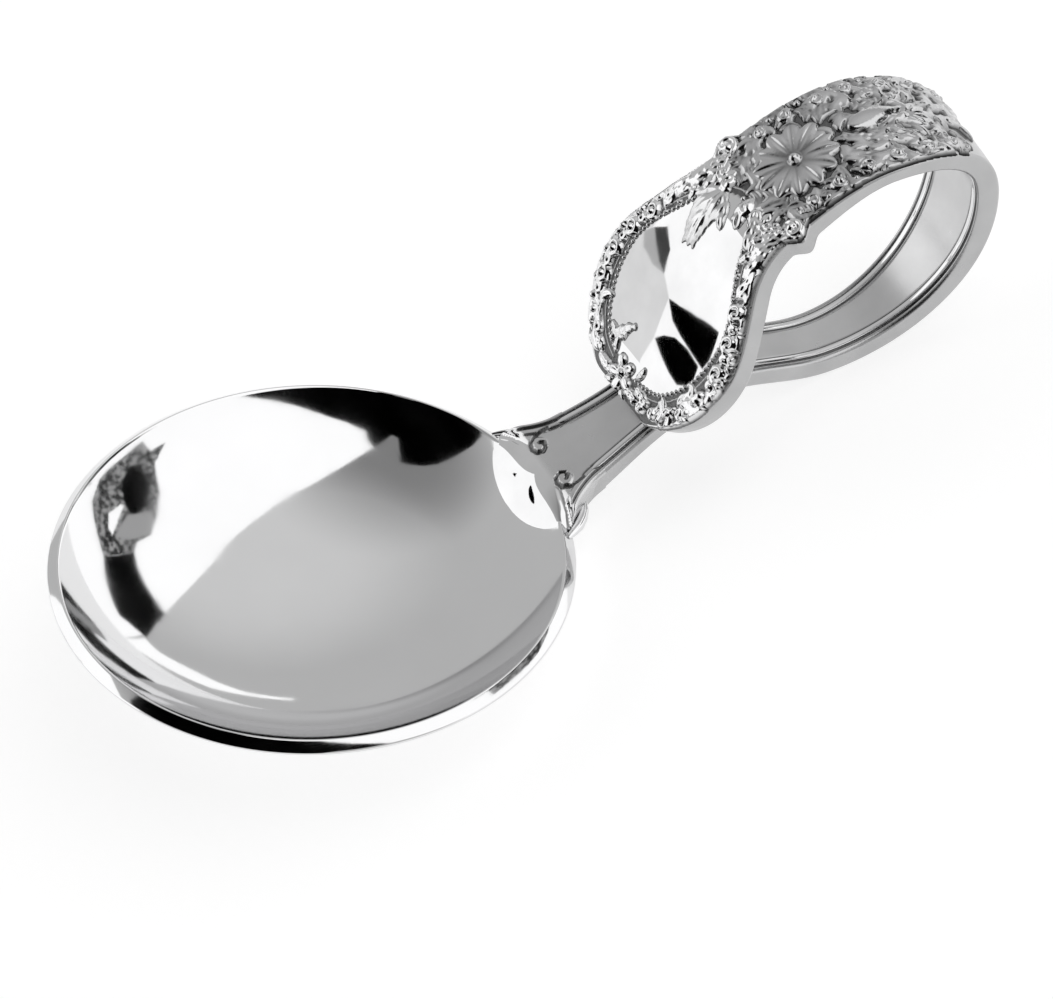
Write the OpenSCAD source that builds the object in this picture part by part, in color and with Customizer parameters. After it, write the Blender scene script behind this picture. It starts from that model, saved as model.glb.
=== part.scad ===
// Baby spoon with a round bowl and a finger loop bent from its own handle.
// Every shape is drawn with the rim of the bowl level and its centre at the origin, +X towards the
// handle. The finished pieces are then tipped until the bowl and the loop both stand on z = 0.

/* [Bowl] */
// Outer diameter of the bowl at its rim
bowl_d = 40; // [34:0.5:46]
// Diameter of the shallow floor of the bowl
floor_d = 24; // [20:0.5:26]
// Radius of the curve of that floor, inside
floor_r = 37; // [30:0.5:46]
// Slope of the inner wall where it meets the rim, in degrees
wall_slope = 43; // [38:1:52]
// Thickness of the bowl
bowl_t = 1.1; // [0.8:0.05:1.5]
// Width of the band on top of the rim
rim_w = 1.1; // [0.8:0.05:1.6]
// Fall of that band from its inner to its outer edge
rim_fall = 0.25; // [0.1:0.05:0.4]
// Height of the outer edge of the rim
rim_edge_h = 0.9; // [0.6:0.05:1.3]
// Depth of the flat worn under the bowl and under the loop
wear_depth = 0.12; // [0.08:0.01:0.2]

/* [Stem] */
// Width of the stem beside the bowl
stem_root_w = 8.3; // [7.6:0.1:9.4]
// Width of the stem under the tip of the handle
stem_w = 6.5; // [5.6:0.1:7.4]
// Thickness of the stem beside the bowl
root_t = 2; // [1.6:0.05:2.3]
// Thickness of the stem under the tip
stem_t = 1.45; // [1.2:0.05:1.8]
// Height of the middle of the stem where it crosses the rim's inner edge
root_z = 0.16; // [0:0.02:0.4]
// Slope of the stem as it leaves the bowl, in degrees
root_slope = 20; // [16:1:24]
// Slope of the stem under the tip, in degrees
seat_slope = 28; // [24:1:32]
// Distance from the rim to the middle of the stem under the tip
seat_x = 8.2; // [7.5:0.1:9.5]
// Height of the middle of the stem there, above the outer edge of the rim
seat_z = 4.3; // [3.7:0.1:4.8]

/* [Loop] */
// Distance from the rim to the hump of the stem
hump_x = 13.6; // [12.5:0.1:15]
// Height of the middle of the strip on the hump
hump_z = 6.2; // [5.6:0.1:6.8]
// Distance from the rim to the lowest point of the loop
bottom_x = 23; // [21.5:0.1:24.5]
// Height of the middle of the strip at that point
bottom_z = 4.35; // [3.8:0.1:5]
// Distance from the rim to the far end of the loop
end_x = 35.8; // [34:0.1:40]
// Height of the middle of the strip at the far end
end_z = 17.2; // [16:0.1:19]
// Distance from the rim to the highest point of the loop
top_x = 26.9; // [25.5:0.1:28]
// Height of the middle of the strip at that point
top_z = 24.4; // [23:0.1:27]
// Width of the strip on the hump
hump_w = 5.9; // [5.2:0.1:6.8]
// Width of the strip at the bottom of the loop
bottom_w = 5.6; // [5:0.1:6.6]
// Width of the strip at the far end of the loop
end_w = 8.2; // [7.4:0.1:9]
// Width of the strip at the top of the loop
top_w = 11.1; // [10:0.1:12]
// Thickness of the strip at the bottom of the loop
bottom_t = 1.75; // [1.4:0.05:2.2]
// Thickness of the strip at the far end of the loop
end_t = 1.9; // [1.5:0.05:2.3]
// Thickness of the strip at the top of the loop
top_t = 1.4; // [1.2:0.05:1.9]

/* [Face plate] */
// Distance from the rim to the neck above the plate
neck_x = 18.4; // [17.5:0.1:19.4]
// Height of the middle of the strip at the neck
neck_z = 21.3; // [20.5:0.1:22.1]
// Slope of the strip at the neck, in degrees
neck_slope = 30; // [26:1:34]
// Width of the neck
neck_w = 11.4; // [10.6:0.1:12.4]
// Slope of the flat plate, in degrees
plate_slope = 58.5; // [55:0.5:61]
// Widest width of the plate
plate_w = 19; // [17:0.1:21]
// Thickness of the plate
plate_t = 1.9; // [1.5:0.05:2.3]
// Length of the flat part of the plate, from its tip
plate_flat = 14.5; // [13.5:0.1:15.5]
// Distance from the tip to the widest place
plate_belly = 8; // [7.4:0.1:8.4]
// Distance from the tip to where the plate is as narrow as the neck
plate_len = 18.9; // [18:0.1:20]
// Half length of the ellipse that rounds the tip
tip_curve = 8.7; // [8.5:0.1:9.6]
// How far each lug stands out beside the neck
lug_out = 0.85; // [0.6:0.05:1.1]
// Distance from the tip to the lugs, along the plate
lug_at = 19.9; // [19.4:0.1:20.4]
// Half length of a lug along the edge
lug_half = 1.35; // [1.1:0.05:1.6]
// Gap between the tip and the thread lines of the stem, filled with solder
tip_gap = 0.06; // [0.04:0.01:0.1]

/* [Cast relief] */
// Rounding of the long edges of the strip
edge_r = 0.45; // [0.3:0.05:0.55]
// Width of the row of beads round the plate's mirror
mirror_w = 13.4; // [12:0.1:14]
// Diameter of one bead of that row
bead_d = 0.52; // [0.4:0.02:0.6]
// Step from bead to bead
bead_step = 0.78; // [0.7:0.02:1]
// Least distance from the outline of the plate in to the row of beads
bead_inset = 2.1; // [2.05:0.05:2.4]
// Outer radius of one scroll of the border
scroll_r = 0.66; // [0.55:0.01:0.7]
// Radius of the round wire that a scroll looks like
scroll_wire = 0.22; // [0.18:0.01:0.24]
// Distance from the outline in to the middle of a border scroll
scroll_inset = 0.98; // [0.9:0.02:1.04]
// Step from scroll to scroll along the plate's border
scroll_step = 1.6; // [1.55:0.05:2]
// Radius of the rosette
rosette_r = 3.3; // [2.8:0.1:3.6]
// Radius of the boss in the middle of the rosette
boss_r = 0.75; // [0.6:0.05:0.9]
// Number of petals of the rosette
petals = 11; // [9:1:13]
// Radius of the small flower on the tip of the plate
flower_r = 1.35; // [1.1:0.05:1.5]
// Height of a leaf or petal above the face
leaf_h = 0.4; // [0.3:0.05:0.5]
// Length of one acanthus leaf
leaf_len = 2.2; // [1.8:0.1:2.4]
// Width of one acanthus leaf
leaf_w = 0.9; // [0.7:0.05:1]
// Width of one thread line along the stem and inside the loop
thread_w = 0.5; // [0.4:0.05:0.6]
// Height of a thread line
thread_h = 0.2; // [0.15:0.05:0.3]
// Distance from the edge of the strip in to a thread line
thread_inset = 0.95; // [0.85:0.05:1.1]
// Half width of the shoulder that laps the rim, measured across the stem
shoulder_half = 5.8; // [5.2:0.1:6.4]
// Height of the shoulder above the outer edge of the rim
shoulder_h = 1.5; // [1.3:0.05:1.6]
// How far the shoulder reaches down the inside of the bowl, across the rim
shoulder_in = 1.65; // [1.4:0.05:1.8]
// How far the shoulder stands out past the rim
shoulder_out = 0.3; // [0.2:0.05:0.5]
// Radius of the curl at each end of the shoulder
ear_r = 0.65; // [0.5:0.05:0.75]

/* [Hidden] */

// Bowl: the floor is one arc and the wall a second, tighter one that meets it smoothly
bowl_r = bowl_d / 2;
rim_in = bowl_r - rim_w;
floor_half = floor_d / 2;
floor_slope = asin(floor_half / floor_r);
wall_r = (rim_in - floor_half) / (sin(wall_slope) - sin(floor_slope));
bowl_depth = floor_r * (1 - cos(floor_slope)) + wall_r * (cos(floor_slope) - cos(wall_slope));
floor_z = rim_fall - bowl_depth;
floor_centre_z = floor_z + floor_r;
wall_centre_x = floor_half - wall_r * sin(floor_slope);
wall_centre_z = floor_centre_z - (floor_r - wall_r) * cos(floor_slope);
lip_r = rim_edge_h * 0.4;
floor_steps = 10;
wall_steps = 12;
lip_steps = 5;

// Strip: its middle line runs through these places, each with its heading in degrees
root_x = bowl_r - rim_w;
seat = [bowl_r + seat_x, seat_z];
seat_gap = thread_h + tip_gap;
seat_top = seat + (stem_t / 2 + seat_gap) * [-sin(seat_slope), cos(seat_slope)];
plate_dir = [cos(plate_slope), sin(plate_slope)];
tip_end = seat_top + plate_t / 2 * [-sin(plate_slope), cos(plate_slope)];
plate_start = tip_end + plate_flat * plate_dir;
places = [
    [root_x, root_z], seat, [bowl_r + hump_x, hump_z], [bowl_r + bottom_x, bottom_z],
    [bowl_r + end_x, end_z], [bowl_r + top_x, top_z], [bowl_r + neck_x, neck_z], plate_start, tip_end,
];
headings = [
    root_slope, seat_slope, 0, 0, 90, 180, 180 + neck_slope, 180 + plate_slope, 180 + plate_slope,
];
widths = [stem_root_w, stem_w, hump_w, bottom_w, end_w, top_w, neck_w, plate_w, plate_w];
thicknesses = [root_t, stem_t, (stem_t + bottom_t) / 2, bottom_t, end_t, top_t, plate_t, plate_t, plate_t];
run_steps = [12, 8, 10, 20, 16, 14, 12, 30];
plate_q = len(places) - 2;
corner_steps = 3;

// Standing: the pieces tip until bowl and loop touch one plane, then sink by the worn flats
sole_r = floor_r + bowl_t;
stand_samples = [for (u = [0:0.05:1]) outer_point(3 + u)];
stand_tilt = min([for (p = stand_samples)
    atan2(p[0], floor_centre_z - p[1]) - acos(sole_r / norm([p[0], floor_centre_z - p[1]]))]);
stand_shift = [
    -floor_centre_z * sin(stand_tilt), 0, sole_r - floor_centre_z * cos(stand_tilt) - wear_depth,
];
reach = 3 * bowl_d;

// Fineness of round shapes
round_fn = 120;
relief_fn = 24;

// Colours as the photograph shows them
pewter = [0.72, 0.72, 0.73];
bright = [0.82, 0.82, 0.83];
dark = [0.45, 0.45, 0.47];

function smooth(u) = u * u * (3 - 2 * u);
function mix(a, b, u) = a + (b - a) * u;
function clamp(u) = min(1, max(0, u));
function arc(centre, r, a0, a1, steps) =
    [for (i = [0:steps]) centre + r * [cos(mix(a0, a1, i / steps)), sin(mix(a0, a1, i / steps))]];
function ahead(a) = [cos(a), sin(a)];

// Point and direction on the smooth run that leaves p0 at heading a0 and meets p1 at heading a1
function handle_len(p0, p1, a0, a1) = norm(p1 - p0) / (3 * pow(cos((a1 - a0) / 4), 2));
function run_point(p0, p1, a0, a1, u) =
    let (h = handle_len(p0, p1, a0, a1), b = p0 + h * ahead(a0), c = p1 - h * ahead(a1))
    pow(1 - u, 3) * p0 + 3 * u * pow(1 - u, 2) * b + 3 * u * u * (1 - u) * c + pow(u, 3) * p1;
function run_dir(p0, p1, a0, a1, u) =
    let (h = handle_len(p0, p1, a0, a1), b = p0 + h * ahead(a0), c = p1 - h * ahead(a1))
    pow(1 - u, 2) * (b - p0) + 2 * u * (1 - u) * (c - b) + u * u * (p1 - c);

// The strip at q, where q = 0 is beside the bowl, 3 the loop's bottom, 5 its top and 8 the tip
function run_at(q) = min(floor(q), len(places) - 2);
function middle(q) = let (i = run_at(q))
    run_point(places[i], places[i + 1], headings[i], headings[i + 1], q - i);
function heading(q) = let (i = run_at(q),
    d = run_dir(places[i], places[i + 1], headings[i], headings[i + 1], q - i)) atan2(d[1], d[0]);
function thick(q) = let (i = run_at(q)) mix(thicknesses[i], thicknesses[i + 1], smooth(q - i));
// Distance from the tip along the strip, past the plate, over the top and down the far end
run_len = [for (i = [0:len(places) - 2]) run_length(i)];
function run_length(i) = let (n = 8, p = [for (k = [0:n]) run_point(
    places[i], places[i + 1], headings[i], headings[i + 1], k / n)])
    sum([for (k = [1:n]) norm(p[k] - p[k - 1])]);
function sum(v, i = 0) = i < len(v) ? v[i] + sum(v, i + 1) : 0;
function from_tip(q) = let (i = run_at(q))
    (i + 1 - q) * run_len[i] + sum([for (k = [i + 1:1:len(run_len) - 1]) run_len[k]]);
function q_from_tip(d, i = len(places) - 2) =
    d <= run_len[i] || i == 0 ? i + 1 - d / run_len[i] : q_from_tip(d - run_len[i], i - 1);
function tip_half(d) = plate_w / 2 * sqrt(1 - pow((plate_belly - d) / tip_curve, 2));
function taper_half(d) =
    mix(plate_w, neck_w, smooth(clamp((d - plate_belly) / (plate_len - plate_belly)))) / 2;
function plate_half(d) = d < plate_belly ? tip_half(d) : taper_half(d);
function lug_bump(d) = let (u = clamp(abs(d - lug_at) / lug_half)) lug_out * (1 - smooth(u));
function half_width(q) = let (i = run_at(q))
    q >= plate_q - 1 ? plate_half(from_tip(q)) + lug_bump(from_tip(q))
    : mix(widths[i], widths[i + 1], smooth(q - i)) / 2 + (i == 5 ? lug_bump(from_tip(q)) : 0);
function inward(q) = let (a = heading(q)) [-sin(a), cos(a)];
function inner_point(q) = middle(q) + thick(q) / 2 * inward(q);
function outer_point(q) = middle(q) - thick(q) / 2 * inward(q);

// Turns a shape drawn flat so that it lies on the outer, decorated face of the strip
module on_face(q, y) {
    p = outer_point(q);
    translate([p[0], y, p[1]]) rotate([0, -heading(q), 0]) rotate([180, 0, 0]) children();
}

// The same for the inner face, which is the front of the stem and the inside of the loop
module on_front(q, y) {
    p = inner_point(q);
    translate([p[0], y, p[1]]) rotate([0, -heading(q), 0]) children();
}

// Tips the spoon from the level of its rim to the way it stands
module standing() {
    translate(stand_shift) rotate([0, stand_tilt, 0]) children();
}

module below_ground() {
    translate([-reach, -reach, -reach]) cube([2 * reach, 2 * reach, reach]);
}

// Closed skin over rings of points
module skin(rings) {
    n = len(rings[0]);
    last = len(rings) - 1;
    sides = [for (i = [0:last - 1], j = [0:n - 1]) let (k = (j + 1) % n) each [
        [i * n + k, i * n + j, (i + 1) * n + j],
        [i * n + k, (i + 1) * n + j, (i + 1) * n + k],
    ]];
    first_cap = [[for (j = [0:n - 1]) j]];
    last_cap = [[for (j = [n - 1:-1:0]) last * n + j]];
    polyhedron(points = [for (ring = rings) each ring], faces = concat(sides, first_cap, last_cap));
}

// Rounded cross section of the strip at q
function strip_corner(half, t, sy, sn) = [for (i = [0:corner_steps])
    let (turn = 90 * i / corner_steps, a = sy == sn ? turn : 90 - turn)
    [sy * (half - edge_r + edge_r * cos(a)), sn * (t / 2 - edge_r + edge_r * sin(a))]];
function strip_section(half, t) = concat(
    strip_corner(half, t, 1, 1), strip_corner(half, t, -1, 1),
    strip_corner(half, t, -1, -1), strip_corner(half, t, 1, -1));
function strip_ring(q) = let (m = middle(q), n = inward(q))
    [for (s = strip_section(half_width(q), thick(q))) [m[0] + s[1] * n[0], s[0], m[1] + s[1] * n[1]]];
function strip_stations() = concat(
    [for (i = [0:len(run_steps) - 1], k = [0:run_steps[i] - 1]) i + k / run_steps[i]],
    [len(run_steps)]);

module strip(from = 0, to = len(run_steps)) {
    skin([for (q = strip_stations()) if (q >= from && q <= to) strip_ring(q)]);
}

// Half outline of the bowl: inner skin, rim band, rounded edge and outer skin
function bowl_inside() = concat(
    arc([0, floor_centre_z], floor_r, -90, floor_slope - 90, floor_steps),
    arc([wall_centre_x, wall_centre_z], wall_r, floor_slope - 90, wall_slope - 90, wall_steps));
function bowl_outside() = concat(
    arc([wall_centre_x, wall_centre_z], wall_r + bowl_t, wall_slope - 90, floor_slope - 90, wall_steps),
    arc([0, floor_centre_z], floor_r + bowl_t, floor_slope - 90, -90, floor_steps));
function lip_top() = arc([bowl_r - lip_r, -lip_r], lip_r, 75, 0, lip_steps);
function lip_foot() = arc([bowl_r - lip_r, lip_r - rim_edge_h], lip_r, 0, -60, lip_steps);

module bowl() {
    color(bright) difference() {
        standing() rotate_extrude($fn = round_fn)
            polygon(concat(bowl_inside(), lip_top(), lip_foot(), bowl_outside()));
        below_ground();
    }
}

// Space that the bowl's shoulder takes: the strip starts where this ends
module shoulder_space() {
    translate([0, 0, -bowl_d]) cylinder(r = bowl_r + shoulder_out, h = 2 * bowl_d, $fn = round_fn);
}

module handle() {
    color(pewter) difference() {
        standing() difference() {
            strip();
            shoulder_space();
        }
        below_ground();
    }
}

// Shoulder: the flared end of the handle, which laps the rim and dies away into the bowl
lap_x = rim_in - shoulder_in;
shoulder_low = [for (p = bowl_inside()) if (p[0] > lap_x - bowl_t / 2) p];
function shoulder_profile() = let (outer = bowl_r + shoulder_out,
        top = [for (i = [0:lip_steps]) let (u = i / lip_steps)
            [mix(outer, shoulder_low[0][0], u), mix(shoulder_h, shoulder_low[0][1], u * u)]])
    concat(shoulder_low, lip_top(), [[outer, -lip_r]], top);
function arch_r(half, rise) = (half * half + rise * rise) / (2 * rise);

module shoulder() {
    lap_angle = asin(shoulder_half / bowl_r);
    crown_r = arch_r(shoulder_half, shoulder_h);
    lap_end_x = sqrt(pow(bowl_r - rim_w / 2, 2) - pow(shoulder_half, 2));
    lap_r = arch_r(shoulder_half, lap_end_x - lap_x);
    color(bright) standing() intersection() {
        rotate([0, 0, -lap_angle]) rotate_extrude(angle = 2 * lap_angle, $fn = round_fn)
            polygon(shoulder_profile());
        translate([0, 0, shoulder_h - crown_r]) rotate([0, 90, 0])
            cylinder(r = crown_r, h = bowl_d, $fn = round_fn);
        translate([lap_x + lap_r, 0, -bowl_r]) cylinder(r = lap_r, h = bowl_d, $fn = round_fn);
    }
}

// Half round shapes that sit flat on a face
module dome(r) {
    intersection() {
        sphere(r, $fn = relief_fn);
        translate([-r, -r, 0]) cube([2 * r, 2 * r, r]);
    }
}

module half_ring(r, wire, turn) {
    rotate_extrude(angle = turn, $fn = relief_fn) translate([r, 0]) intersection() {
        circle(wire, $fn = relief_fn / 2 + 2);
        translate([-wire, 0]) square([2 * wire, wire]);
    }
}

// C scroll: an open half round ring that ends in a round eye
module scroll(r, wire, turn) {
    ring_r = r - wire;
    half_ring(ring_r, wire, turn);
    rotate([0, 0, turn]) translate([ring_r, 0, 0]) dome(1.5 * wire);
}

// Leaf or petal on the decorated face: it starts at a distance from the tip and a place across,
// points at an angle from the way up the plate, bends as it goes and keeps to the curve of the face
leaf_rings = 6;
leaf_foot = 0.08;
leaf_reach = 0.93;
leaf_side_shares = [-1, -0.62, 0, 0.62, 1];
leaf_height_shares = [0, 0.75, 1, 0.75, 0];
function leaf_width(u, belly) = pow(sin(180 * pow(mix(leaf_foot, 1, u), belly)), 0.8);
function face_3d(p, h) = let (q = q_from_tip(p[0]), o = outer_point(q) - h * inward(q))
    [o[0], p[1], o[1]];
function leaf_spine(start, a, bend, length, u) = let (
        turn = max(abs(bend), 0.01) * (bend < 0 ? -1 : 1), r = length / turn * 180 / PI,
        a0 = a - turn / 2, a1 = a0 + turn * u)
    start + r * [sin(a1) - sin(a0), -(cos(a1) - cos(a0))];
module face_leaf(start, a, bend, length, width, height, belly = 1) {
    skin([for (i = [0:leaf_rings]) let (
            u = i / leaf_rings, c = leaf_spine(start, a, bend, length, u),
            across = [-sin(a + bend * (u - 0.5)), cos(a + bend * (u - 0.5))],
            half = width / 2 * leaf_width(u * leaf_reach, belly))
        [for (k = [4:-1:0]) face_3d(c + half * leaf_side_shares[k] * across,
            height * leaf_height_shares[k] * sqrt(half * 2 / width))]]);
}

// Curls that lie against the shoulder, close beside the stem
module shoulder_ears() {
    ear_gap = 0.22;
    ear_x = bowl_r + shoulder_out + ear_r;
    ear_angle = asin((stem_root_w / 2 + ear_gap + ear_r) / ear_x);
    color(pewter) standing() for (side = [-1, 1]) rotate([0, 0, side * ear_angle])
        translate([ear_x, 0, -rim_edge_h / 2]) {
            cylinder(r = ear_r, h = rim_edge_h, $fn = relief_fn);
            translate([0, 0, rim_edge_h]) dome(ear_r * 0.6);
        }
}

// Solder that fills the corner under the stem, outside the rim
module rim_solder() {
    solder_w = shoulder_out * 4;
    solder_end = bowl_r + solder_w;
    under_end = root_z + (solder_end - root_x) * tan(root_slope) - root_t / 2 / cos(root_slope);
    color(dark) standing() difference() {
        translate([0, stem_root_w * 0.4, 0]) rotate([90, 0, 0]) linear_extrude(stem_root_w * 0.8)
            polygon([
                [rim_in, -rim_edge_h], [bowl_r, lip_r / 2 - rim_edge_h],
                [solder_end, under_end], [solder_end, under_end + root_t / 2], [rim_in, root_t / 2],
            ]);
        translate([0, 0, -bowl_r]) cylinder(r = bowl_r, h = bowl_d, $fn = round_fn);
        translate([0, 0, -lip_r]) cylinder(r = bowl_r + shoulder_out, h = bowl_r, $fn = round_fn);
        strip(0, 1);
    }
}

// Solder that fills the narrow gap between the tip and the stem, between the two thread lines
module tip_solder() {
    p = seat_top - seat_gap / 2 * [-sin(seat_slope), cos(seat_slope)];
    solder_w = stem_w - 2 * (thread_inset + thread_w);
    color(dark) standing() difference() {
        translate([p[0], 0, p[1]]) rotate([90, 0, 0])
            cylinder(r = seat_gap * 2, h = solder_w, center = true, $fn = relief_fn);
        strip(0, 2);
        strip(plate_q);
    }
}

// Places of the relief, as distances from the tip along the face
volute_r = 0.75;
volute_turn = 300;
egg_share = 0.2;
egg_first = 2.1;
egg_last = lug_at - lug_half;
egg_middle = (egg_first + egg_last) / 2;
egg_half = (egg_last - egg_first) / 2;
scroll_first = 1.9;
scroll_turn = 250;
lug_curl = 0.85;
spray_at = 18.1;
spray_side = 2.3;
spray_step = 1.7;
flower_at = 1.55;
flower_side = 0.7;
curl_at = 3.2;
curl_side = 2.4;
rosette_at = 23.3;
relief_end = 40.5;
petal_share = 0.92;
petal_belly = 1.5;
leaf_pitch_share = 0.62;

// Thread lines: two raised lines that follow the edges of the stem's front and the loop's inside
thread_from = 0.22;
thread_to = 4.9;
function thread_section() = [
    [-thread_w / 2, 0], [thread_w / 2, 0], [thread_w * 0.3, thread_h], [-thread_w * 0.3, thread_h],
];
function thread_ring(q, side) = let (
        p = inner_point(q), n = inward(q), y = side * (half_width(q) - thread_inset))
    [for (s = thread_section()) [p[0] + s[1] * n[0], y + side * s[0], p[1] + s[1] * n[1]]];
function thread_stations(from, to) =
    [for (q = strip_stations()) if (q >= max(from, thread_from) && q <= min(to, thread_to)) q];

function reversed(v) = [for (i = [len(v) - 1:-1:0]) v[i]];

module stem_threads(from = 0, to = len(run_steps)) {
    color(pewter) standing() {
        skin([for (q = thread_stations(from, to)) thread_ring(q, 1)]);
        skin([for (q = thread_stations(from, to)) reversed(thread_ring(q, -1))]);
    }
}

// Volutes in which the thread lines end on the stem
module stem_scrolls() {
    q = thread_from;
    y = half_width(q) - thread_inset - volute_r + thread_w / 2;
    color(pewter) standing() for (side = [-1, 1]) on_front(q, side * y)
        rotate([0, 0, side > 0 ? 90 : -90 - volute_turn]) scroll(volute_r, thread_w / 2, volute_turn);
}

// Row of beads round the mirror of the plate, along an egg that follows the plate's outline
function egg_point(a) = let (
        along = egg_middle - egg_half * cos(a),
        across = mirror_w / 2 * sin(a) * (1 + egg_share * cos(a)),
        limit = plate_half(along) - bead_inset)
    [along, across > limit ? limit : across < -limit ? -limit : across];
module at_plate(p) {
    on_face(q_from_tip(p[0]), p[1]) children();
}

module bead_row() {
    egg_round = PI * (egg_half + mirror_w / 2);
    count = floor(egg_round / bead_step);
    flower = [flower_at, flower_side];
    color(pewter) standing() for (i = [0:count - 1]) let (p = egg_point(360 * i / count))
        if (norm(p - flower) > flower_r * 1.9 && norm(p - spray_place(0)) > leaf_len
                && norm(p - spray_place(1)) > leaf_len)
            at_plate(p) dome(bead_d / 2);
}

// Scrolls side by side between the beads and the outline, alike on both sides
module plate_scrolls() {
    count = floor((lug_at - lug_half - scroll_first) / scroll_step);
    color(pewter) standing() for (side = [-1, 1], i = [0:count - 1]) {
        d = scroll_first + i * scroll_step;
        y = plate_half(d) - scroll_inset;
        at_plate([d, side * y]) rotate([0, 0, side * (i % 2 == 0 ? 40 : 110)])
            scroll(scroll_r, scroll_wire, side * scroll_turn);
    }
}

// Volutes on top of the two lugs
module lug_scrolls() {
    color(pewter) standing() for (side = [-1, 1])
        at_plate([lug_at, side * (neck_w / 2 + lug_out - lug_curl - edge_r)])
            rotate([0, 0, side * 60]) scroll(lug_curl, scroll_wire, side * scroll_turn);
}

// Leaves that spread from one place: each has an angle and a share of the full leaf length
module spray(start, angles, size_shares, bend) {
    for (i = [0:len(angles) - 1]) face_leaf(
        start + leaf_w * 0.4 * ahead(angles[i]), angles[i], bend * (i % 2 == 0 ? 1 : -1),
        leaf_len * size_shares[i], leaf_w * sqrt(size_shares[i]), leaf_h);
}

function spray_place(i) = [spray_at - i * spray_step, spray_side - i * spray_step / 4];

module top_leaf_spray() {
    color(pewter) standing() for (i = [0:2])
        spray(spray_place(i), [150 - i * 12, 205 + i * 12, 100], [1, 0.8, 0.7], 40);
}

module low_leaf_spray() {
    color(pewter) standing() spray([curl_at, curl_side], [-70, -15, 45], [1, 0.8, 0.7], 50);
}

// Small flower on the tip
module tip_flower() {
    flower_petals = 5;
    color(bright) standing() at_plate([flower_at, flower_side]) {
        dome(flower_r * 0.34);
        for (i = [0:flower_petals - 1]) rotate([0, 0, 360 * (i + 0.5) / flower_petals])
            translate([flower_r * 0.66, 0, 0]) dome(flower_r * 0.32);
    }
}

// Curled leaves beside the flower, at the very end of the plate
module tip_leaves() {
    color(pewter) standing() for (side = [-1, 1], i = [0:1]) {
        y = flower_side + side * flower_r * (1.15 + 0.6 * i);
        face_leaf([flower_at - i * leaf_w * 0.8, y], side * (60 + 40 * i), side * 50,
            leaf_len * 0.6, leaf_w, leaf_h);
    }
}

// Daisy on the shoulder of the loop: its petals bend with the strip under them
module rosette() {
    color(bright) standing() {
        at_plate([rosette_at, 0]) dome(boss_r);
        for (i = [0:petals - 1]) let (a = 360 * (i + 0.5) / petals)
            face_leaf([rosette_at, 0] + boss_r * 1.05 * ahead(a), a, 0, rosette_r - boss_r,
                2 * rosette_r * sin(180 / petals) * petal_share, leaf_h, petal_belly);
    }
}

// Scrolls along both edges of the decorated stretch of the loop
module loop_scrolls() {
    count = floor((relief_end - lug_at - lug_half) / scroll_step);
    color(pewter) standing() for (side = [-1, 1], i = [0:count - 1]) {
        d = lug_at + lug_half + (i + 0.5) * scroll_step;
        y = half_width(q_from_tip(d)) - scroll_r - edge_r;
        at_plate([d, side * y]) rotate([0, 0, side * (i % 2 == 0 ? 30 : 130)])
            scroll(scroll_r, scroll_wire, side * scroll_turn);
    }
}

// Long leaves between the rosette and the plain end of the loop
module loop_leaves() {
    start = rosette_at + rosette_r + leaf_w;
    count = floor((relief_end - start - leaf_len) / (leaf_len * leaf_pitch_share)) + 1;
    color(pewter) standing() for (i = [0:count - 1], side = [-1, 1]) {
        d = start + i * leaf_len * leaf_pitch_share;
        face_leaf([d, side * leaf_w * 0.35], side * 30, side * 45, leaf_len, leaf_w, leaf_h);
        face_leaf([d + leaf_len * 0.4, side * leaf_w * 1.9], side * 15, -side * 60,
            leaf_len * 0.8, leaf_w * 0.8, leaf_h);
    }
}

bowl();
handle();
shoulder();
shoulder_ears();
rim_solder();
tip_solder();
stem_threads();
stem_scrolls();
bead_row();
plate_scrolls();
lug_scrolls();
top_leaf_spray();
low_leaf_spray();
tip_flower();
tip_leaves();
rosette();
loop_scrolls();
loop_leaves();
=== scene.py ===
"""Baby spoon with a finger loop: the looks of its castings and relief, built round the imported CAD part.

Sizes are in millimetres in the bowl's rim frame, until Standing.place() turns them into the rest frame in
metres.
"""

import logging
import math
from dataclasses import dataclass, field
from enum import Enum
from typing import Callable, Sequence

import bmesh
import bpy
import numpy as np
from mathutils import Matrix


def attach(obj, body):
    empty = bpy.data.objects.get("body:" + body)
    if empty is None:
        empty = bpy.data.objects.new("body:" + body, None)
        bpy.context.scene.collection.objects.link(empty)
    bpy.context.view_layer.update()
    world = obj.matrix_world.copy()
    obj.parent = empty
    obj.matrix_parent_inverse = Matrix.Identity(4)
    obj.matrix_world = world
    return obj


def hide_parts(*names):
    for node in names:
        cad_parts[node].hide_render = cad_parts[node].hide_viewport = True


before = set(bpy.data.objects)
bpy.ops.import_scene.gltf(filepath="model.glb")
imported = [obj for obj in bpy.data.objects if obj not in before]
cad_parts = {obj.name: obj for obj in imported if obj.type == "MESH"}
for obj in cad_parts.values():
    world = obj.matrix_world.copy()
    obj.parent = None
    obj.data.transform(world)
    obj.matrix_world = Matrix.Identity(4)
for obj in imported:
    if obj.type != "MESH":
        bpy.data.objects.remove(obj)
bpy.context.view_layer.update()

LOG = logging.getLogger("baby_spoon")
Array = np.ndarray
Skin = tuple[np.ndarray, list[tuple[int, ...]]]
Socket = bpy.types.NodeSocket
MM = 0.001


def smooth(u: Array) -> Array:
    """Eased step from 0 to 1 of a value or array that lies in 0 to 1."""
    return u * u * (3 - 2 * u)


def mix(a: Array, b: Array, u: Array) -> Array:
    """Value between a and b at share u."""
    return a + (b - a) * u


def clamp(u: Array) -> Array:
    """Value held between 0 and 1."""
    return np.clip(u, 0.0, 1.0)


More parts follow.
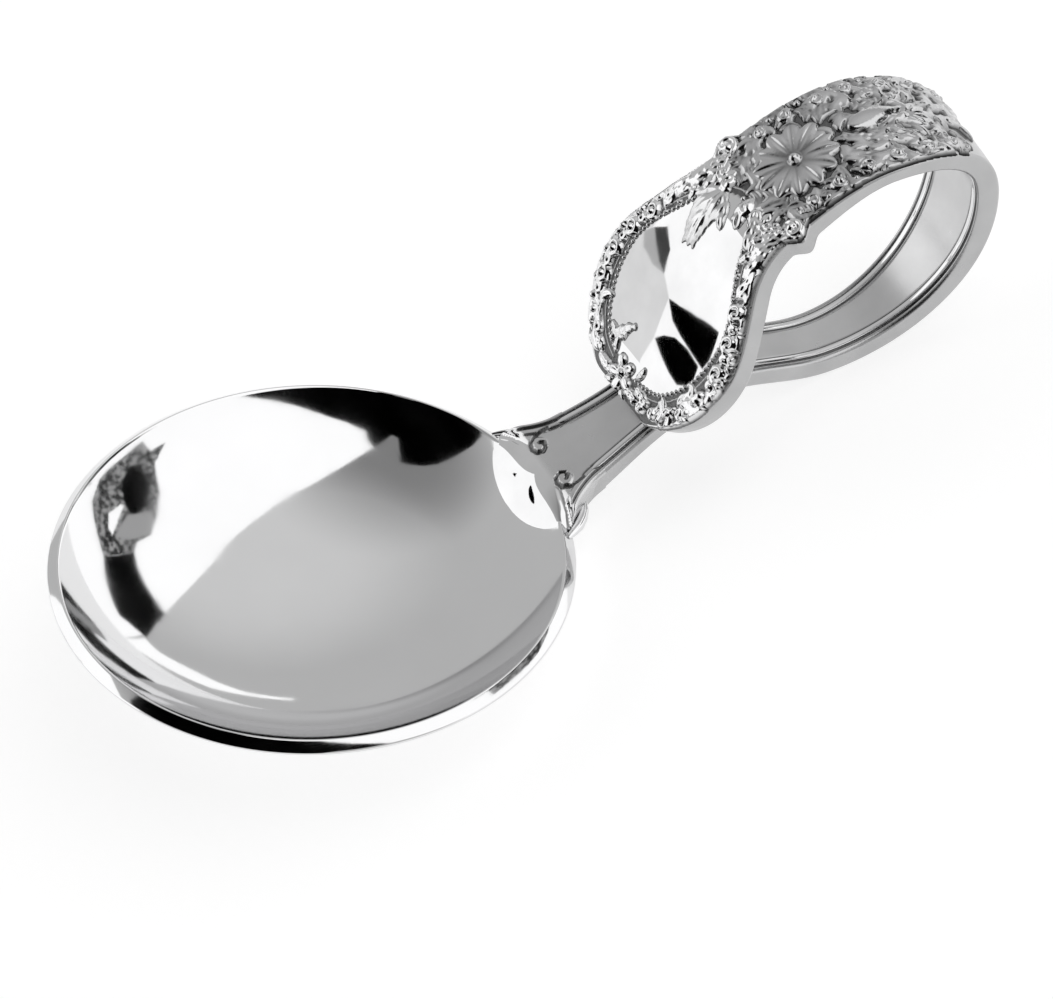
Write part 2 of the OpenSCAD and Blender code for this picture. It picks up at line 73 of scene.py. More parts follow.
def ease(value: Array, start: float, run: float) -> Array:
    """Eased step from 0 at start to 1 a run further on, or further back where the run is negative."""
    return smooth(clamp((value - start) / run))


def bell(value: Array, at: float, width: float) -> Array:
    """Bell curve of a value: 1 in its middle and nearly 0 two widths away."""
    return np.exp(-((value - at) / width) ** 2)


def way(angle: Array) -> Array:
    """Unit steps at angles in degrees. On the face, 0 leads away from the tip and 90 to the left."""
    return np.stack([np.cos(np.radians(angle)), np.sin(np.radians(angle))], -1)


def sky(azimuth: Array, elevation: Array) -> Array:
    """Unit directions seen from the spoon, at angles in degrees."""
    return np.concatenate([way(azimuth) * way(elevation)[..., :1], way(elevation)[..., 1:]], -1)


def arc(centre: Sequence[float], radius: float, start: float, end: float, steps: int) -> Array:
    """Points of an arc.

    Args:
        centre: Middle of the arc.
        radius: Its radius.
        start: First angle in degrees.
        end: Last angle in degrees.
        steps: Number of chords.

    Returns:
        Array of steps + 1 points.
    """
    return np.asarray(centre) + radius * way(np.linspace(start, end, steps + 1))


@dataclass(frozen=True)
class Standing:
    """How the spoon stands: the tilt of its rim plane and the shift that sets it on the floor."""

    tilt: float = 14.7074
    shift: tuple[float, float, float] = (-7.89838, 0.0, 7.8891)

    def turn(self, vectors: Array) -> Array:
        """Turns directions as the spoon stands.

        Args:
            vectors: Directions of the rim frame.

        Returns:
            Directions of the rest frame.
        """
        v = np.asarray(vectors, float)
        c, s = way(self.tilt)
        return np.stack([v[..., 0] * c + v[..., 2] * s, v[..., 1], -v[..., 0] * s + v[..., 2] * c], -1)

    def place(self, points: Array) -> Array:
        """Points of the rim frame in mm, as points of the rest frame in metres."""
        return (self.turn(points) + np.asarray(self.shift)) * MM


STANDING = Standing()


def hang(name: str, data: bpy.types.ID) -> bpy.types.Object:
    """Puts a new object into the scene.

    Args:
        name: Its name.
        data: The mesh or camera that it shows.

    Returns:
        The object.
    """
    made = bpy.data.objects.new(name, data)
    bpy.context.scene.collection.objects.link(made)
    return made


def declare(piece: bpy.types.Object, slot: str, *nodes: str) -> bpy.types.Object:
    """Hides the CAD nodes that a piece stands for and puts the piece on the spoon's one body.

    Args:
        piece: The piece, which rides on the spoon's one body.
        slot: Not used.
        nodes: The CAD nodes that it stands for.

    Returns:
        The same piece.
    """
    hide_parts(*nodes)
    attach(piece, "root")
    return piece


def make_piece(name: str, points: Array, faces: list[tuple[int, ...]], finish: bpy.types.Material,
               crease: float = 40.0, heights: Array | None = None) -> bpy.types.Object:
    """Makes one mesh piece in the rest frame.

    Args:
        name: Name of the piece.
        points: Its points in the rim frame, in mm.
        faces: Corner numbers of each face.
        finish: Its material.
        crease: Edges that bend more than this many degrees stay sharp.
        heights: Relief height of each point as a share, for finishes that darken in recesses with painted
            shade.

    Returns:
        The new object.
    """
    mesh = bpy.data.meshes.new(name)
    placed = STANDING.place(points)
    placed[:, 2] = np.maximum(placed[:, 2], 0.0)
    mesh.from_pydata(placed.tolist(), [], faces)
    mesh.polygons.foreach_set("use_smooth", [True] * len(mesh.polygons))
    mesh.set_sharp_from_angle(angle=math.radians(crease))
    if heights is not None:
        layer = mesh.attributes.new("relief_height", "FLOAT", "POINT")
        layer.data.foreach_set("value", np.asarray(heights, np.float32))
    mesh.materials.append(finish)
    mesh.update()
    return hang(name, mesh)


def sweep(rings: Array, ends: Sequence[Sequence[float]] | None = None) -> Skin:
    """Closed skin over rings of points, with a fan at both ends.

    Args:
        rings: Array of rings x points x 3.
        ends: Middles of the two fans, where they aren't the middles of the end rings.

    Returns:
        The points and the faces.
    """
    n, m, _ = rings.shape
    middles = (rings[0].mean(0), rings[-1].mean(0)) if ends is None else ends
    faces = [(i * m + j, i * m + (j + 1) % m, (i + 1) * m + (j + 1) % m, (i + 1) * m + j)
             for i in range(n - 1) for j in range(m)]
    faces += [(n * m, (j + 1) % m, j) for j in range(m)]
    faces += [(n * m + 1, (n - 1) * m + j, (n - 1) * m + (j + 1) % m) for j in range(m)]
    return np.vstack([rings.reshape(-1, 3), *middles]), faces


def join(skins: Sequence[Skin]) -> Skin:
    """Several skins as one.

    Args:
        skins: The points and faces of each.

    Returns:
        The points and faces of all.
    """
    faces, count = [], 0
    for points, own_faces in skins:
        faces += [tuple(corner + count for corner in face) for face in own_faces]
        count += len(points)
    return np.vstack([points for points, _ in skins]), faces


def corners_of(cell: Array) -> Array:
    """Finds the grid points round chosen cells.

    Args:
        cell: Which cells of the grid are chosen.

    Returns:
        Which grid points are a corner of such a cell.
    """
    rows, columns = cell.shape
    corner = np.zeros((rows + 1, columns + 1), bool)
    for di, dj in ((0, 0), (1, 0), (0, 1), (1, 1)):
        corner[di:rows + di, dj:columns + dj] |= cell
    return corner


def patch(name: str, top: Array, base: Array, used: Array, finish: bpy.types.Material, crease: float,
          share: Array | None = None) -> bpy.types.Object:
    """Closed mesh between two grids of points.

    Args:
        name: Name of the piece.
        top: Grid of upper points, rows x columns x 3.
        base: Grid of lower points.
        used: Which grid points belong to the piece.
        finish: Its material.
        crease: Edges that bend more than this many degrees stay sharp.
        share: Relief height of each grid point as a share.

    Returns:
        The piece.
    """
    cell = used[:-1, :-1] & used[1:, :-1] & used[:-1, 1:] & used[1:, 1:]
    kept = corners_of(cell)
    count = int(kept.sum())
    number = np.full(used.shape, -1)
    number[kept] = np.arange(count)
    i, j = np.nonzero(cell)
    quads = np.column_stack([number[i, j], number[i + 1, j], number[i + 1, j + 1], number[i, j + 1]])
    walls = []
    padded = np.pad(cell, 1)
    for (di, dj), (a, b) in (((-1, 0), (3, 0)), ((1, 0), (1, 2)), ((0, -1), (0, 1)), ((0, 1), (2, 3))):
        rim = ~padded[i + 1 + di, j + 1 + dj]
        start, end = quads[rim, a], quads[rim, b]
        walls.append(np.column_stack([end, start, start + count, end + count]))
    faces = np.vstack([quads, quads[:, ::-1] + count, *walls])
    heights = None if share is None else np.concatenate([share[kept], np.zeros(count)])
    return make_piece(name, np.vstack([top[kept], base[kept]]), [tuple(f) for f in faces.tolist()],
                      finish, crease, heights)


@dataclass(frozen=True)
class Strip:
    """The one strip of metal that is stem, hump, finger loop, neck and face plate.

    It runs through places, each with a heading in degrees, from beside the bowl (q = 0) to the plate's tip
    (q = 8). A groove is its distance from the edge, its width and its depth. The front is lowered under the
    shoulder in steps of a depth that runs out after a place over a run.
    """

    places: tuple[tuple[float, float], ...] = (
        (18.9, 0.16), (28.2, 4.3), (33.6, 6.2), (43, 4.35), (55.8, 17.2), (46.9, 24.4), (38.4, 21.3),
        (34.5038, 18.0294), (26.9276, 5.66608),
    )
    headings: tuple[float, ...] = (20, 28, 0, 0, 90, 180, 210, 238.5, 238.5)
    widths: tuple[float, ...] = (8.3, 6.5, 5.9, 5.6, 8.2, 11.1, 11.4, 19, 19)
    thicknesses: tuple[float, ...] = (2, 1.45, 1.6, 1.75, 1.9, 1.4, 1.9, 1.9, 1.9)
    plate_w: float = 19.0
    neck_w: float = 11.4
    plate_belly: float = 8.0
    plate_len: float = 18.9
    tip_curve: float = 8.7
    lug_out: float = 0.85
    lug_at: float = 19.9
    lug_half: float = 1.35
    plate_run: int = 7
    crown_h: float = 0.14
    crown_in: float = 0.4
    crown_start: float = 4.0
    crown_end: tuple[float, float] = (60.0, -15.0)
    dome_h: float = 0.3
    dome_at: float = 10.0
    dome_half: float = 9.6
    lowered: tuple[tuple[float, float, float], ...] = ((0.45, 0.36, 0.04), (0.3, 0.05, 0.1))
    lines_start: tuple[float, float] = (0.26, 0.1)
    lines_end: tuple[float, float] = (4.6, 0.35)
    panel_deep: float = 0.13
    panel_in: tuple[float, float] = (1.3, 0.25)
    grooves: tuple[tuple[float, float, float], ...] = ((0.62, 0.13, 0.2), (1.26, 0.1, 0.12))
    # Painted shade that darkens the colour along each groove: its distance from the edge, its width and its
    # darkness.
    painted_groove_shades: tuple[tuple[float, float, float], ...] = ((0.62, 0.17, 1.0), (1.28, 0.13, 0.85))

    def _bezier(self, i: int) -> tuple[Array, Array, Array, Array]:
        """Lays out one run.

        Args:
            i: Number of the run.

        Returns:
            Its four control points.
        """
        p0, p1 = np.asarray(self.places[i], float), np.asarray(self.places[i + 1], float)
        a0, a1 = math.radians(self.headings[i]), math.radians(self.headings[i + 1])
        reach = np.linalg.norm(p1 - p0) / (3 * math.cos((a1 - a0) / 4) ** 2)
        return p0, p0 + reach * way(self.headings[i]), p1 - reach * way(self.headings[i + 1]), p1

    def _each_run(self, q: Array, value: Callable[[int, Array], Array], width: int) -> Array:
        """Fills an array from a rule that differs from run to run.

        Args:
            q: Places along the strip.
            value: The rule, from the number of a run and shares of it.
            width: Numbers in each value.

        Returns:
            The value at each place.
        """
        q = np.atleast_1d(np.asarray(q, float))
        run = np.clip(np.floor(q).astype(int), 0, self.plate_run)
        out = np.zeros((len(q), width)) if width > 1 else np.zeros(len(q))
        for i in np.unique(run):
            out[run == i] = value(int(i), q[run == i] - i)
        return out

    def _along(self, i: int, u: Array) -> Array:
        """Points (x, z) of one run's middle line.

        Args:
            i: Number of the run.
            u: Shares of the run.

        Returns:
            The points.
        """
        p0, b, c, p1 = self._bezier(i)
        u = u[:, None]
        return (1 - u) ** 3 * p0 + 3 * u * (1 - u) ** 2 * b + 3 * u * u * (1 - u) * c + u ** 3 * p1

    def _square(self, i: int, u: Array) -> Array:
        """Unit vectors (x, z) square to one run's middle line.

        Args:
            i: Number of the run.
            u: Shares of the run.

        Returns:
            The vectors.
        """
        p0, b, c, p1 = self._bezier(i)
        u = u[:, None]
        d = (1 - u) ** 2 * (b - p0) + 2 * u * (1 - u) * (c - b) + u * u * (p1 - c)
        d /= np.linalg.norm(d, axis=1)[:, None]
        return np.column_stack([-d[:, 1], d[:, 0]])

    def middle(self, q: Array) -> Array:
        """Points (x, z) of the strip's middle line at q."""
        return self._each_run(q, self._along, 2)

    def inward(self, q: Array) -> Array:
        """Unit vectors (x, z) from the decorated face through the strip to its other face."""
        return self._each_run(q, self._square, 2)

    def thick(self, q: Array) -> Array:
        """Thickness of the strip at q."""
        t = self.thicknesses
        return self._each_run(q, lambda i, u: mix(t[i], t[i + 1], smooth(u)), 1)

    def run_lengths(self) -> Array:
        """Measures each run along eight chords, as the CAD part does.

        Returns:
            The lengths.
        """
        out = []
        for i in range(self.plate_run + 1):
            p = self.middle(np.minimum(i + np.linspace(0, 1, 9), i + 1 - 1e-9))
            out.append(np.linalg.norm(np.diff(p, axis=0), axis=1).sum())
        return np.array(out)

    def from_tip(self, q: Array) -> Array:
        """Measures along the strip from the plate's tip.

        Args:
            q: Places along the strip.

        Returns:
            Distances from the tip.
        """
        lengths = self.run_lengths()
        beyond = np.append(np.cumsum(lengths[::-1])[::-1][1:], 0.0)
        return self._each_run(q, lambda i, u: (1 - u) * lengths[i] + beyond[i], 1)

    def q_at(self, d: Array) -> Array:
        """Finds places by their distance from the plate's tip.

        Args:
            d: Distances from the tip.

        Returns:
            Places along the strip.
        """
        lengths = self.run_lengths()[::-1]
        edges = np.concatenate([[0.0], np.cumsum(lengths)])
        return np.interp(d, edges, self.plate_run + 1 - np.arange(len(edges)))

    def half_width(self, q: Array) -> Array:
        """Half of the strip's width, lugs included.

        Args:
            q: Places along the strip.

        Returns:
            The half widths.
        """
        q = np.atleast_1d(np.asarray(q, float))
        d = self.from_tip(q)
        w = self.widths
        plain = self._each_run(q, lambda i, u: mix(w[i], w[i + 1], smooth(u)) / 2, 1)
        tip = self.plate_w / 2 * np.sqrt(np.maximum(0, 1 - ((self.plate_belly - d) / self.tip_curve) ** 2))
        share = ease(d, self.plate_belly, self.plate_len - self.plate_belly)
        plate = np.where(d < self.plate_belly, tip, mix(self.plate_w, self.neck_w, share) / 2)
        bump = self.lug_out * (1 - ease(np.abs(d - self.lug_at), 0, self.lug_half))
        return np.where(q >= self.plate_run - 1, plate, plain) + np.where(q >= 5, bump, 0)

    def crown(self, q: Array, y: Array) -> Array:
        """Height of the gently domed decorated face above the flat strip.

        Args:
            q: Places along the strip.
            y: Distances across, from the middle line.

        Returns:
            The heights.
        """
        d = self.from_tip(q)
        dome = self.dome_h * np.maximum(0, 1 - ((d - self.dome_at) / self.dome_half) ** 2)
        across = clamp(1 - (y / (self.half_width(q) - self.crown_in)) ** 2)
        return (self.crown_h + dome) * ease(d, 0, self.crown_start) * ease(d, *self.crown_end) * across

    def painted_groove_shade(self, edge: Array) -> Array:
        """Painted shade of the two edge grooves, 0 to 1, at a distance from the edge."""
        return np.maximum(*(deep * bell(edge, at, width) for at, width, deep in self.painted_groove_shades))

    def under_shoulder(self, q: Array) -> Array:
        """How far the strip's front is lowered where the shoulder covers it."""
        return sum(deep * (1 - ease(q, start, run)) for deep, start, run in self.lowered)

    def front_drop(self, q: Array, y: Array) -> Array:
        """Depth of the grooves and the sunk panel on the stem's front and inside the loop.

        Args:
            q: Places along the strip.
            y: Distances across, from the middle line.

        Returns:
            The depths.
        """
        edge = self.half_width(q) - np.abs(y)
        reach = ease(q, *self.lines_start) * (1 - ease(q, *self.lines_end))
        panel = self.panel_deep * ease(edge, *self.panel_in)
        lines = sum(deep * bell(edge, at, width) for at, width, deep in self.grooves)
        return reach * (panel + lines) + self.under_shoulder(q)

    def beside(self, q: Array, y: Array, off: Array) -> Array:
        """Points at a distance off the strip's middle surface, positive on the stem's front."""
        xz = self.middle(q) + off[:, None] * self.inward(q)
        return np.column_stack([xz[:, 0], y, xz[:, 1]])

    def on_face(self, d: Array, y: Array, height: Array) -> Array:
        """Points above the decorated face, crown included.

        Args:
            d: Distances from the tip.
            y: Distances from the middle line.
            height: Heights above the face.

        Returns:
            Points in the rim frame.
        """
        q = self.q_at(np.ravel(d))
        y, height = np.ravel(y), np.ravel(height)
        return self.beside(q, y, -(self.thick(q) / 2 + self.crown(q, y) + height))

    def on_front(self, q: Array, y: Array, height: Array) -> Array:
        """Points above the stem's front, which is also the loop's inner face."""
        q, y, height = (np.ravel(values) for values in np.broadcast_arrays(q, y, height))
        return self.beside(q, y, self.thick(q) / 2 + height)


STRIP = Strip()


class Tone(Enum):
    """The plain levels of light that the polished metal mirrors."""

    WHITE = 1.3
    PALE = 0.9
    GREY = 0.55
    SLATE = 0.42
    INK = 0.06
    BLACK = 0.0


class Nodes:
    """A short way to write the nodes of a material or a world."""

    def __init__(self, name: str, world: bool = False) -> None:
        """Starts an empty tree.

        Args:
            name: Name of the material or world.
            world: Whether it is a world.
        """
        self.owner = (bpy.data.worlds if world else bpy.data.materials).new(name)
        self.owner.use_nodes = True
        self.tree = self.owner.node_tree
        self.tree.nodes.clear()

    def add(self, kind: str, inputs: dict | None = None, **settings: object) -> bpy.types.Node:
        """Adds a node.

        Args:
            kind: Its type.
            inputs: Socket name or number to a value or to another node's output.
            settings: Its other settings.

        Returns:
            The node.
        """
        node = self.tree.nodes.new(kind)
        for key, value in settings.items():
            setattr(node, key, value)
        for key, value in (inputs or {}).items():
            if isinstance(value, bpy.types.NodeSocket):
                self.tree.links.new(value, node.inputs[key])
            else:
                node.inputs[key].default_value = value
        return node

    def noise(self, scale: float, detail: float = 3.0, stretch: Sequence[float] = (1, 1, 1),
              turn: Sequence[float] = (0, 0, 0)) -> Socket:
        """Noise in the object's own coordinates.

        Args:
            scale: Blotches per metre.
            detail: Levels of finer blotches.
            stretch: Share of the scale along each axis.
            turn: Turn about each axis, in radians.

        Returns:
            Its value.
        """
        coord = self.add("ShaderNodeTexCoord").outputs["Object"]
        place = self.add("ShaderNodeMapping", {"Vector": coord, "Scale": stretch, "Rotation": turn})
        noise = self.add("ShaderNodeTexNoise", {"Vector": place.outputs[0], "Scale": scale, "Detail": detail})
        return noise.outputs[0]

    def ramp(self, value: Socket, stops: Sequence[tuple[float, float]]) -> Socket:
        """Maps a value through grey stops.

        Args:
            value: The value.
            stops: Place and level of each stop.

        Returns:
            The level.
        """
        node = self.add("ShaderNodeValToRGB", {0: value})
        while len(node.color_ramp.elements) < len(stops):
            node.color_ramp.elements.new(0.5)
        for element, (at, level) in zip(node.color_ramp.elements, stops):
            element.position, element.color = at, (level, level, level, 1)
        return node.outputs[0]

    def math(self, kind: str, a: object, b: object = 0.0) -> Socket:
        """One sum on two values."""
        return self.add("ShaderNodeMath", {0: a, 1: b}, operation=kind).outputs[0]

    def relief_height(self) -> Socket:
        """The share that the mesh carries at each point."""
        return self.add("ShaderNodeAttribute", attribute_name="relief_height").outputs["Fac"]

    def bump(self, strength: float, distance: float, height: Socket, **under: Socket) -> Socket:
        """Normal of a rough surface, with the distance in metres, on top of another Normal if one is given."""
        inputs = {"Strength": strength, "Distance": distance, "Height": height, **under}
        return self.add("ShaderNodeBump", inputs).outputs[0]

    def show(self, shader: bpy.types.Node) -> bpy.types.Material:
        """Ends the material with a shader."""
        self.add("ShaderNodeOutputMaterial", {"Surface": shader.outputs[0]})
        return self.owner

    def metal(self, colour: Sequence[float], shade: Socket, rough: Socket,
              normal: Socket) -> bpy.types.Material:
        """Ends the material as a metal.

        Args:
            colour: Its plain colour.
            shade: How much of that colour is left at each place.
            rough: Its roughness.
            normal: Its normal.

        Returns:
            The material.
        """
        colours = {0: 1.0, 6: (*colour, 1), 7: shade}
        tint = self.add("ShaderNodeMix", colours, data_type="RGBA", blend_type="MULTIPLY")
        return self.show(self.add("ShaderNodeBsdfPrincipled", {
            "Base Color": tint.outputs[2], "Metallic": 1.0, "Roughness": rough, "Normal": normal}))


@dataclass(frozen=True)
class PolishedPewter:
    """Hand-polished pewter: nearly a mirror, with faint wipe marks and a little unevenness from spinning."""

    name: str = "polished_pewter"
    colour: tuple[float, float, float] = (0.77, 0.77, 0.775)
    smear: tuple[float, float] = (0.045, 0.1)
    waviness: float = 0.05
    scratch: float = 0.02
    wipe_scale: float = 420
    hair_scale: float = 2600

    def make(self) -> bpy.types.Material:
        """Builds the material.

        Returns:
            The material.
        """
        n = Nodes(self.name)
        wipe = n.noise(self.wipe_scale, 5, (1.0, 0.25, 1.0), (0.3, 0.2, 0.6))
        rough = n.ramp(wipe, ((0.35, self.smear[0]), (0.75, self.smear[1])))
        tint = n.ramp(n.noise(160, 4), ((0.3, 0.97), (0.7, 1.0)))
        hair = n.bump(self.scratch, 0.00003, n.noise(self.hair_scale, 2, (1.0, 0.04, 1.0), (0.0, 0.0, 0.8)))
        wave = n.bump(self.waviness, 0.0006, n.noise(70, 1), Normal=hair)
        return n.metal(self.colour, tint, rough, wave)


@dataclass(frozen=True)
class StripPewter:
    """The handle's metal: a mirror on the plate, satin on its sides and a stippled ground under the relief,
    with painted shade that darkens its colour on the sides, in the grooves and most on the ground.
    """

    name: str = "strip_pewter"
    colour: tuple[float, float, float] = (0.77, 0.77, 0.775)
    ground: float = 0.2
    satin_and_shade: float = 0.62
    wipe_scale: float = 500
    grain_scale: float = 5200

    def make(self) -> bpy.types.Material:
        """Builds the material.

        Returns:
            The material.
        """
        n = Nodes(self.name)
        share = n.relief_height()
        wipe = n.math("MULTIPLY", n.noise(self.wipe_scale, 5, (1.0, 0.3, 1.0)), 0.045)
        # Painted shade: the colour falls with the share, to the ground level on the cast ground and in the
        # grooves, and to the satin level on the sides.
        ground = ((0.0, self.ground), (0.2, self.ground))
        shade = n.ramp(share, (*ground, (0.45, self.satin_and_shade), (0.7, 0.8), (0.95, 1.0)))
        mottle = n.ramp(n.noise(300, 4), ((0.3, 0.9), (0.7, 1.0)))
        dull = n.ramp(share, ((0.0, 0.34), (0.2, 0.3), (0.45, 0.24), (0.7, 0.26), (0.95, 0.0)))
        stipple = n.ramp(share, ((0.0, 1.0), (0.3, 0.15), (0.6, 0.05), (0.9, 0.0)))
        grain = n.math("MULTIPLY", n.noise(self.grain_scale, 2), stipple)
        return n.metal(self.colour, n.math("MULTIPLY", shade, mottle), n.math("ADD", dull, wipe),
                       n.bump(0.55, 0.00012, grain))


@dataclass(frozen=True)
class ReliefPewter:
    """Cast relief: bright on its tops, dull in its recesses, and darker there by painted shade."""

    name: str = "relief_pewter"
    colour: tuple[float, float, float] = (0.76, 0.76, 0.765)
    recess_shade: float = 0.3
    dull: float = 0.0
    slope: float = 0.85
    grain_scale: float = 3800

    def make(self) -> bpy.types.Material:
        """Builds the material.

        Returns:
            The material.
        """
        n = Nodes(self.name)
        level = n.relief_height()
        # Painted shade: the colour darkens from the tops of the relief down to its ground.
        shade = n.ramp(level, ((0.0, self.recess_shade), (0.35, self.slope), (0.7, 1.0)))
        rough = n.math("ADD", n.ramp(level, ((0.0, 0.45), (0.3, 0.2), (0.6, 0.1))), self.dull)
        return n.metal(self.colour, shade, rough, n.bump(0.15, 0.00008, n.noise(self.grain_scale, 3)))


@dataclass(frozen=True)
class DullSolder:
    """Tin solder, wiped but never polished."""

    name: str = "dull_solder"
    colour: tuple[float, float, float] = (0.5, 0.5, 0.52)
    blotch_scale: float = 1500
    grain_scale: float = 2200

    def make(self) -> bpy.types.Material:
        """Builds the material.

        Returns:
            The material.
        """
        n = Nodes(self.name)
        shade = n.ramp(n.noise(self.blotch_scale, 4), ((0.3, 0.7), (0.7, 1.0)))
        rough = n.ramp(n.noise(900), ((0.3, 0.3), (0.7, 0.5)))
        return n.metal(self.colour, shade, rough, n.bump(0.4, 0.0001, n.noise(self.grain_scale, 3)))


@dataclass
class Finishes:
    """The finished materials, made once."""

    mirror: bpy.types.Material = field(default_factory=lambda: PolishedPewter().make())
    strip: bpy.types.Material = field(default_factory=lambda: StripPewter().make())
    relief: bpy.types.Material = field(default_factory=lambda: ReliefPewter().make())
    # The loop's relief is a darker copy of the relief metal: its lower colour and near-black recesses are
    # painted shade.
    garden: bpy.types.Material = field(default_factory=lambda: ReliefPewter(
        "shaded_loop_relief_pewter", (0.56, 0.56, 0.565), 0.04, 0.02, 0.5).make())
    solder: bpy.types.Material = field(default_factory=lambda: DullSolder().make())


@dataclass
class Bowl:
    """The round, shallow bowl with a band on top of its rim."""

    radius: float = 20.0
    thickness: float = 1.1
    rim_w: float = 0.8
    rim_fall: float = 0.5
    band_slope: float = 40.0
    lip: float = 0.22
    ridge: float = 0.14
    floor_half: float = 12.0
    floor_r: float = 37.0
    wall_slope: float = 44.0
    under_rim: float = 0.55
    segments: int = 360
    arc_steps: int = 60

    def __post_init__(self) -> None:
        """Works out the two arcs of the inside."""
        self.rim_in = self.radius - self.rim_w
        self.floor_slope = math.asin(self.floor_half / self.floor_r)
        wall = math.radians(self.wall_slope)
        self.wall_r = (self.rim_in - self.floor_half) / (math.sin(wall) - math.sin(self.floor_slope))
        self.depth = (self.floor_r * (1 - math.cos(self.floor_slope))
                      + self.wall_r * (math.cos(self.floor_slope) - math.cos(wall)))
        self.floor_z = self.rim_fall - self.depth
        self.floor_cz = self.floor_z + self.floor_r
        self.wall_cx = self.floor_half - self.wall_r * math.sin(self.floor_slope)
        self.wall_cz = self.floor_cz - (self.floor_r - self.wall_r) * math.cos(self.floor_slope)

    def _arcs(self, out: float, up: bool) -> Array:
        """Floor and wall arcs.

        Args:
            out: How far they are moved outwards.
            up: Whether they run from the middle to the rim, and not back.

        Returns:
            The points (radius, z).
        """
        s = math.degrees(self.floor_slope)
        wall = (-90 + s, -90 + self.wall_slope, self.arc_steps)
        p = np.vstack([arc((0, self.floor_cz), self.floor_r + out, -90, -90 + s, self.arc_steps)[1:],
                       arc((self.wall_cx, self.wall_cz), self.wall_r + out, *wall)[1:]])
        return p if up else p[::-1]

    def profile(self) -> Array:
        """Half section from the middle of the inside, over the rim, to the middle of the underside.

        Returns:
            The points (radius, z).
        """
        inside = self._arcs(0, True)
        peak, (cos, sin) = inside[-1], way(self.band_slope)
        start, end = peak - self.ridge * way(self.wall_slope), peak + self.ridge * way(-self.band_slope)
        u = np.linspace(0, 1, 7)[:, None]
        ridge = (1 - u) ** 2 * start + 2 * u * (1 - u) * peak + u * u * end
        mid = self.radius - self.lip
        low = self.rim_fall - (mid + self.lip * sin - self.rim_in) * sin / cos - self.lip * cos
        edge = arc((mid, low), self.lip, 90 - self.band_slope, -60, 14)
        under = self._arcs(self.thickness, False)
        return np.vstack([inside[:-1], ridge, edge, under[under[:, 0] < self.radius - self.under_rim]])

    def build(self, finishes: Finishes) -> bpy.types.Object:
        """Turns the profile about the bowl's axis.

        Args:
            finishes: The materials.

        Returns:
            The bowl.
        """
        p = self.profile()
        a = np.linspace(0, 2 * math.pi, self.segments, endpoint=False)
        rings = np.stack([np.outer(p[:, 0], np.cos(a)), np.outer(p[:, 0], np.sin(a)),
                          np.repeat(p[:, 1:], self.segments, axis=1)], -1)
        points, faces = sweep(rings, ((0, 0, self.floor_z), (0, 0, self.floor_z - self.thickness)))
        piece = make_piece("bowl_spun", points, [face[::-1] for face in faces], finishes.mirror, 25)
        return declare(piece, "bright_metal", "bowl")


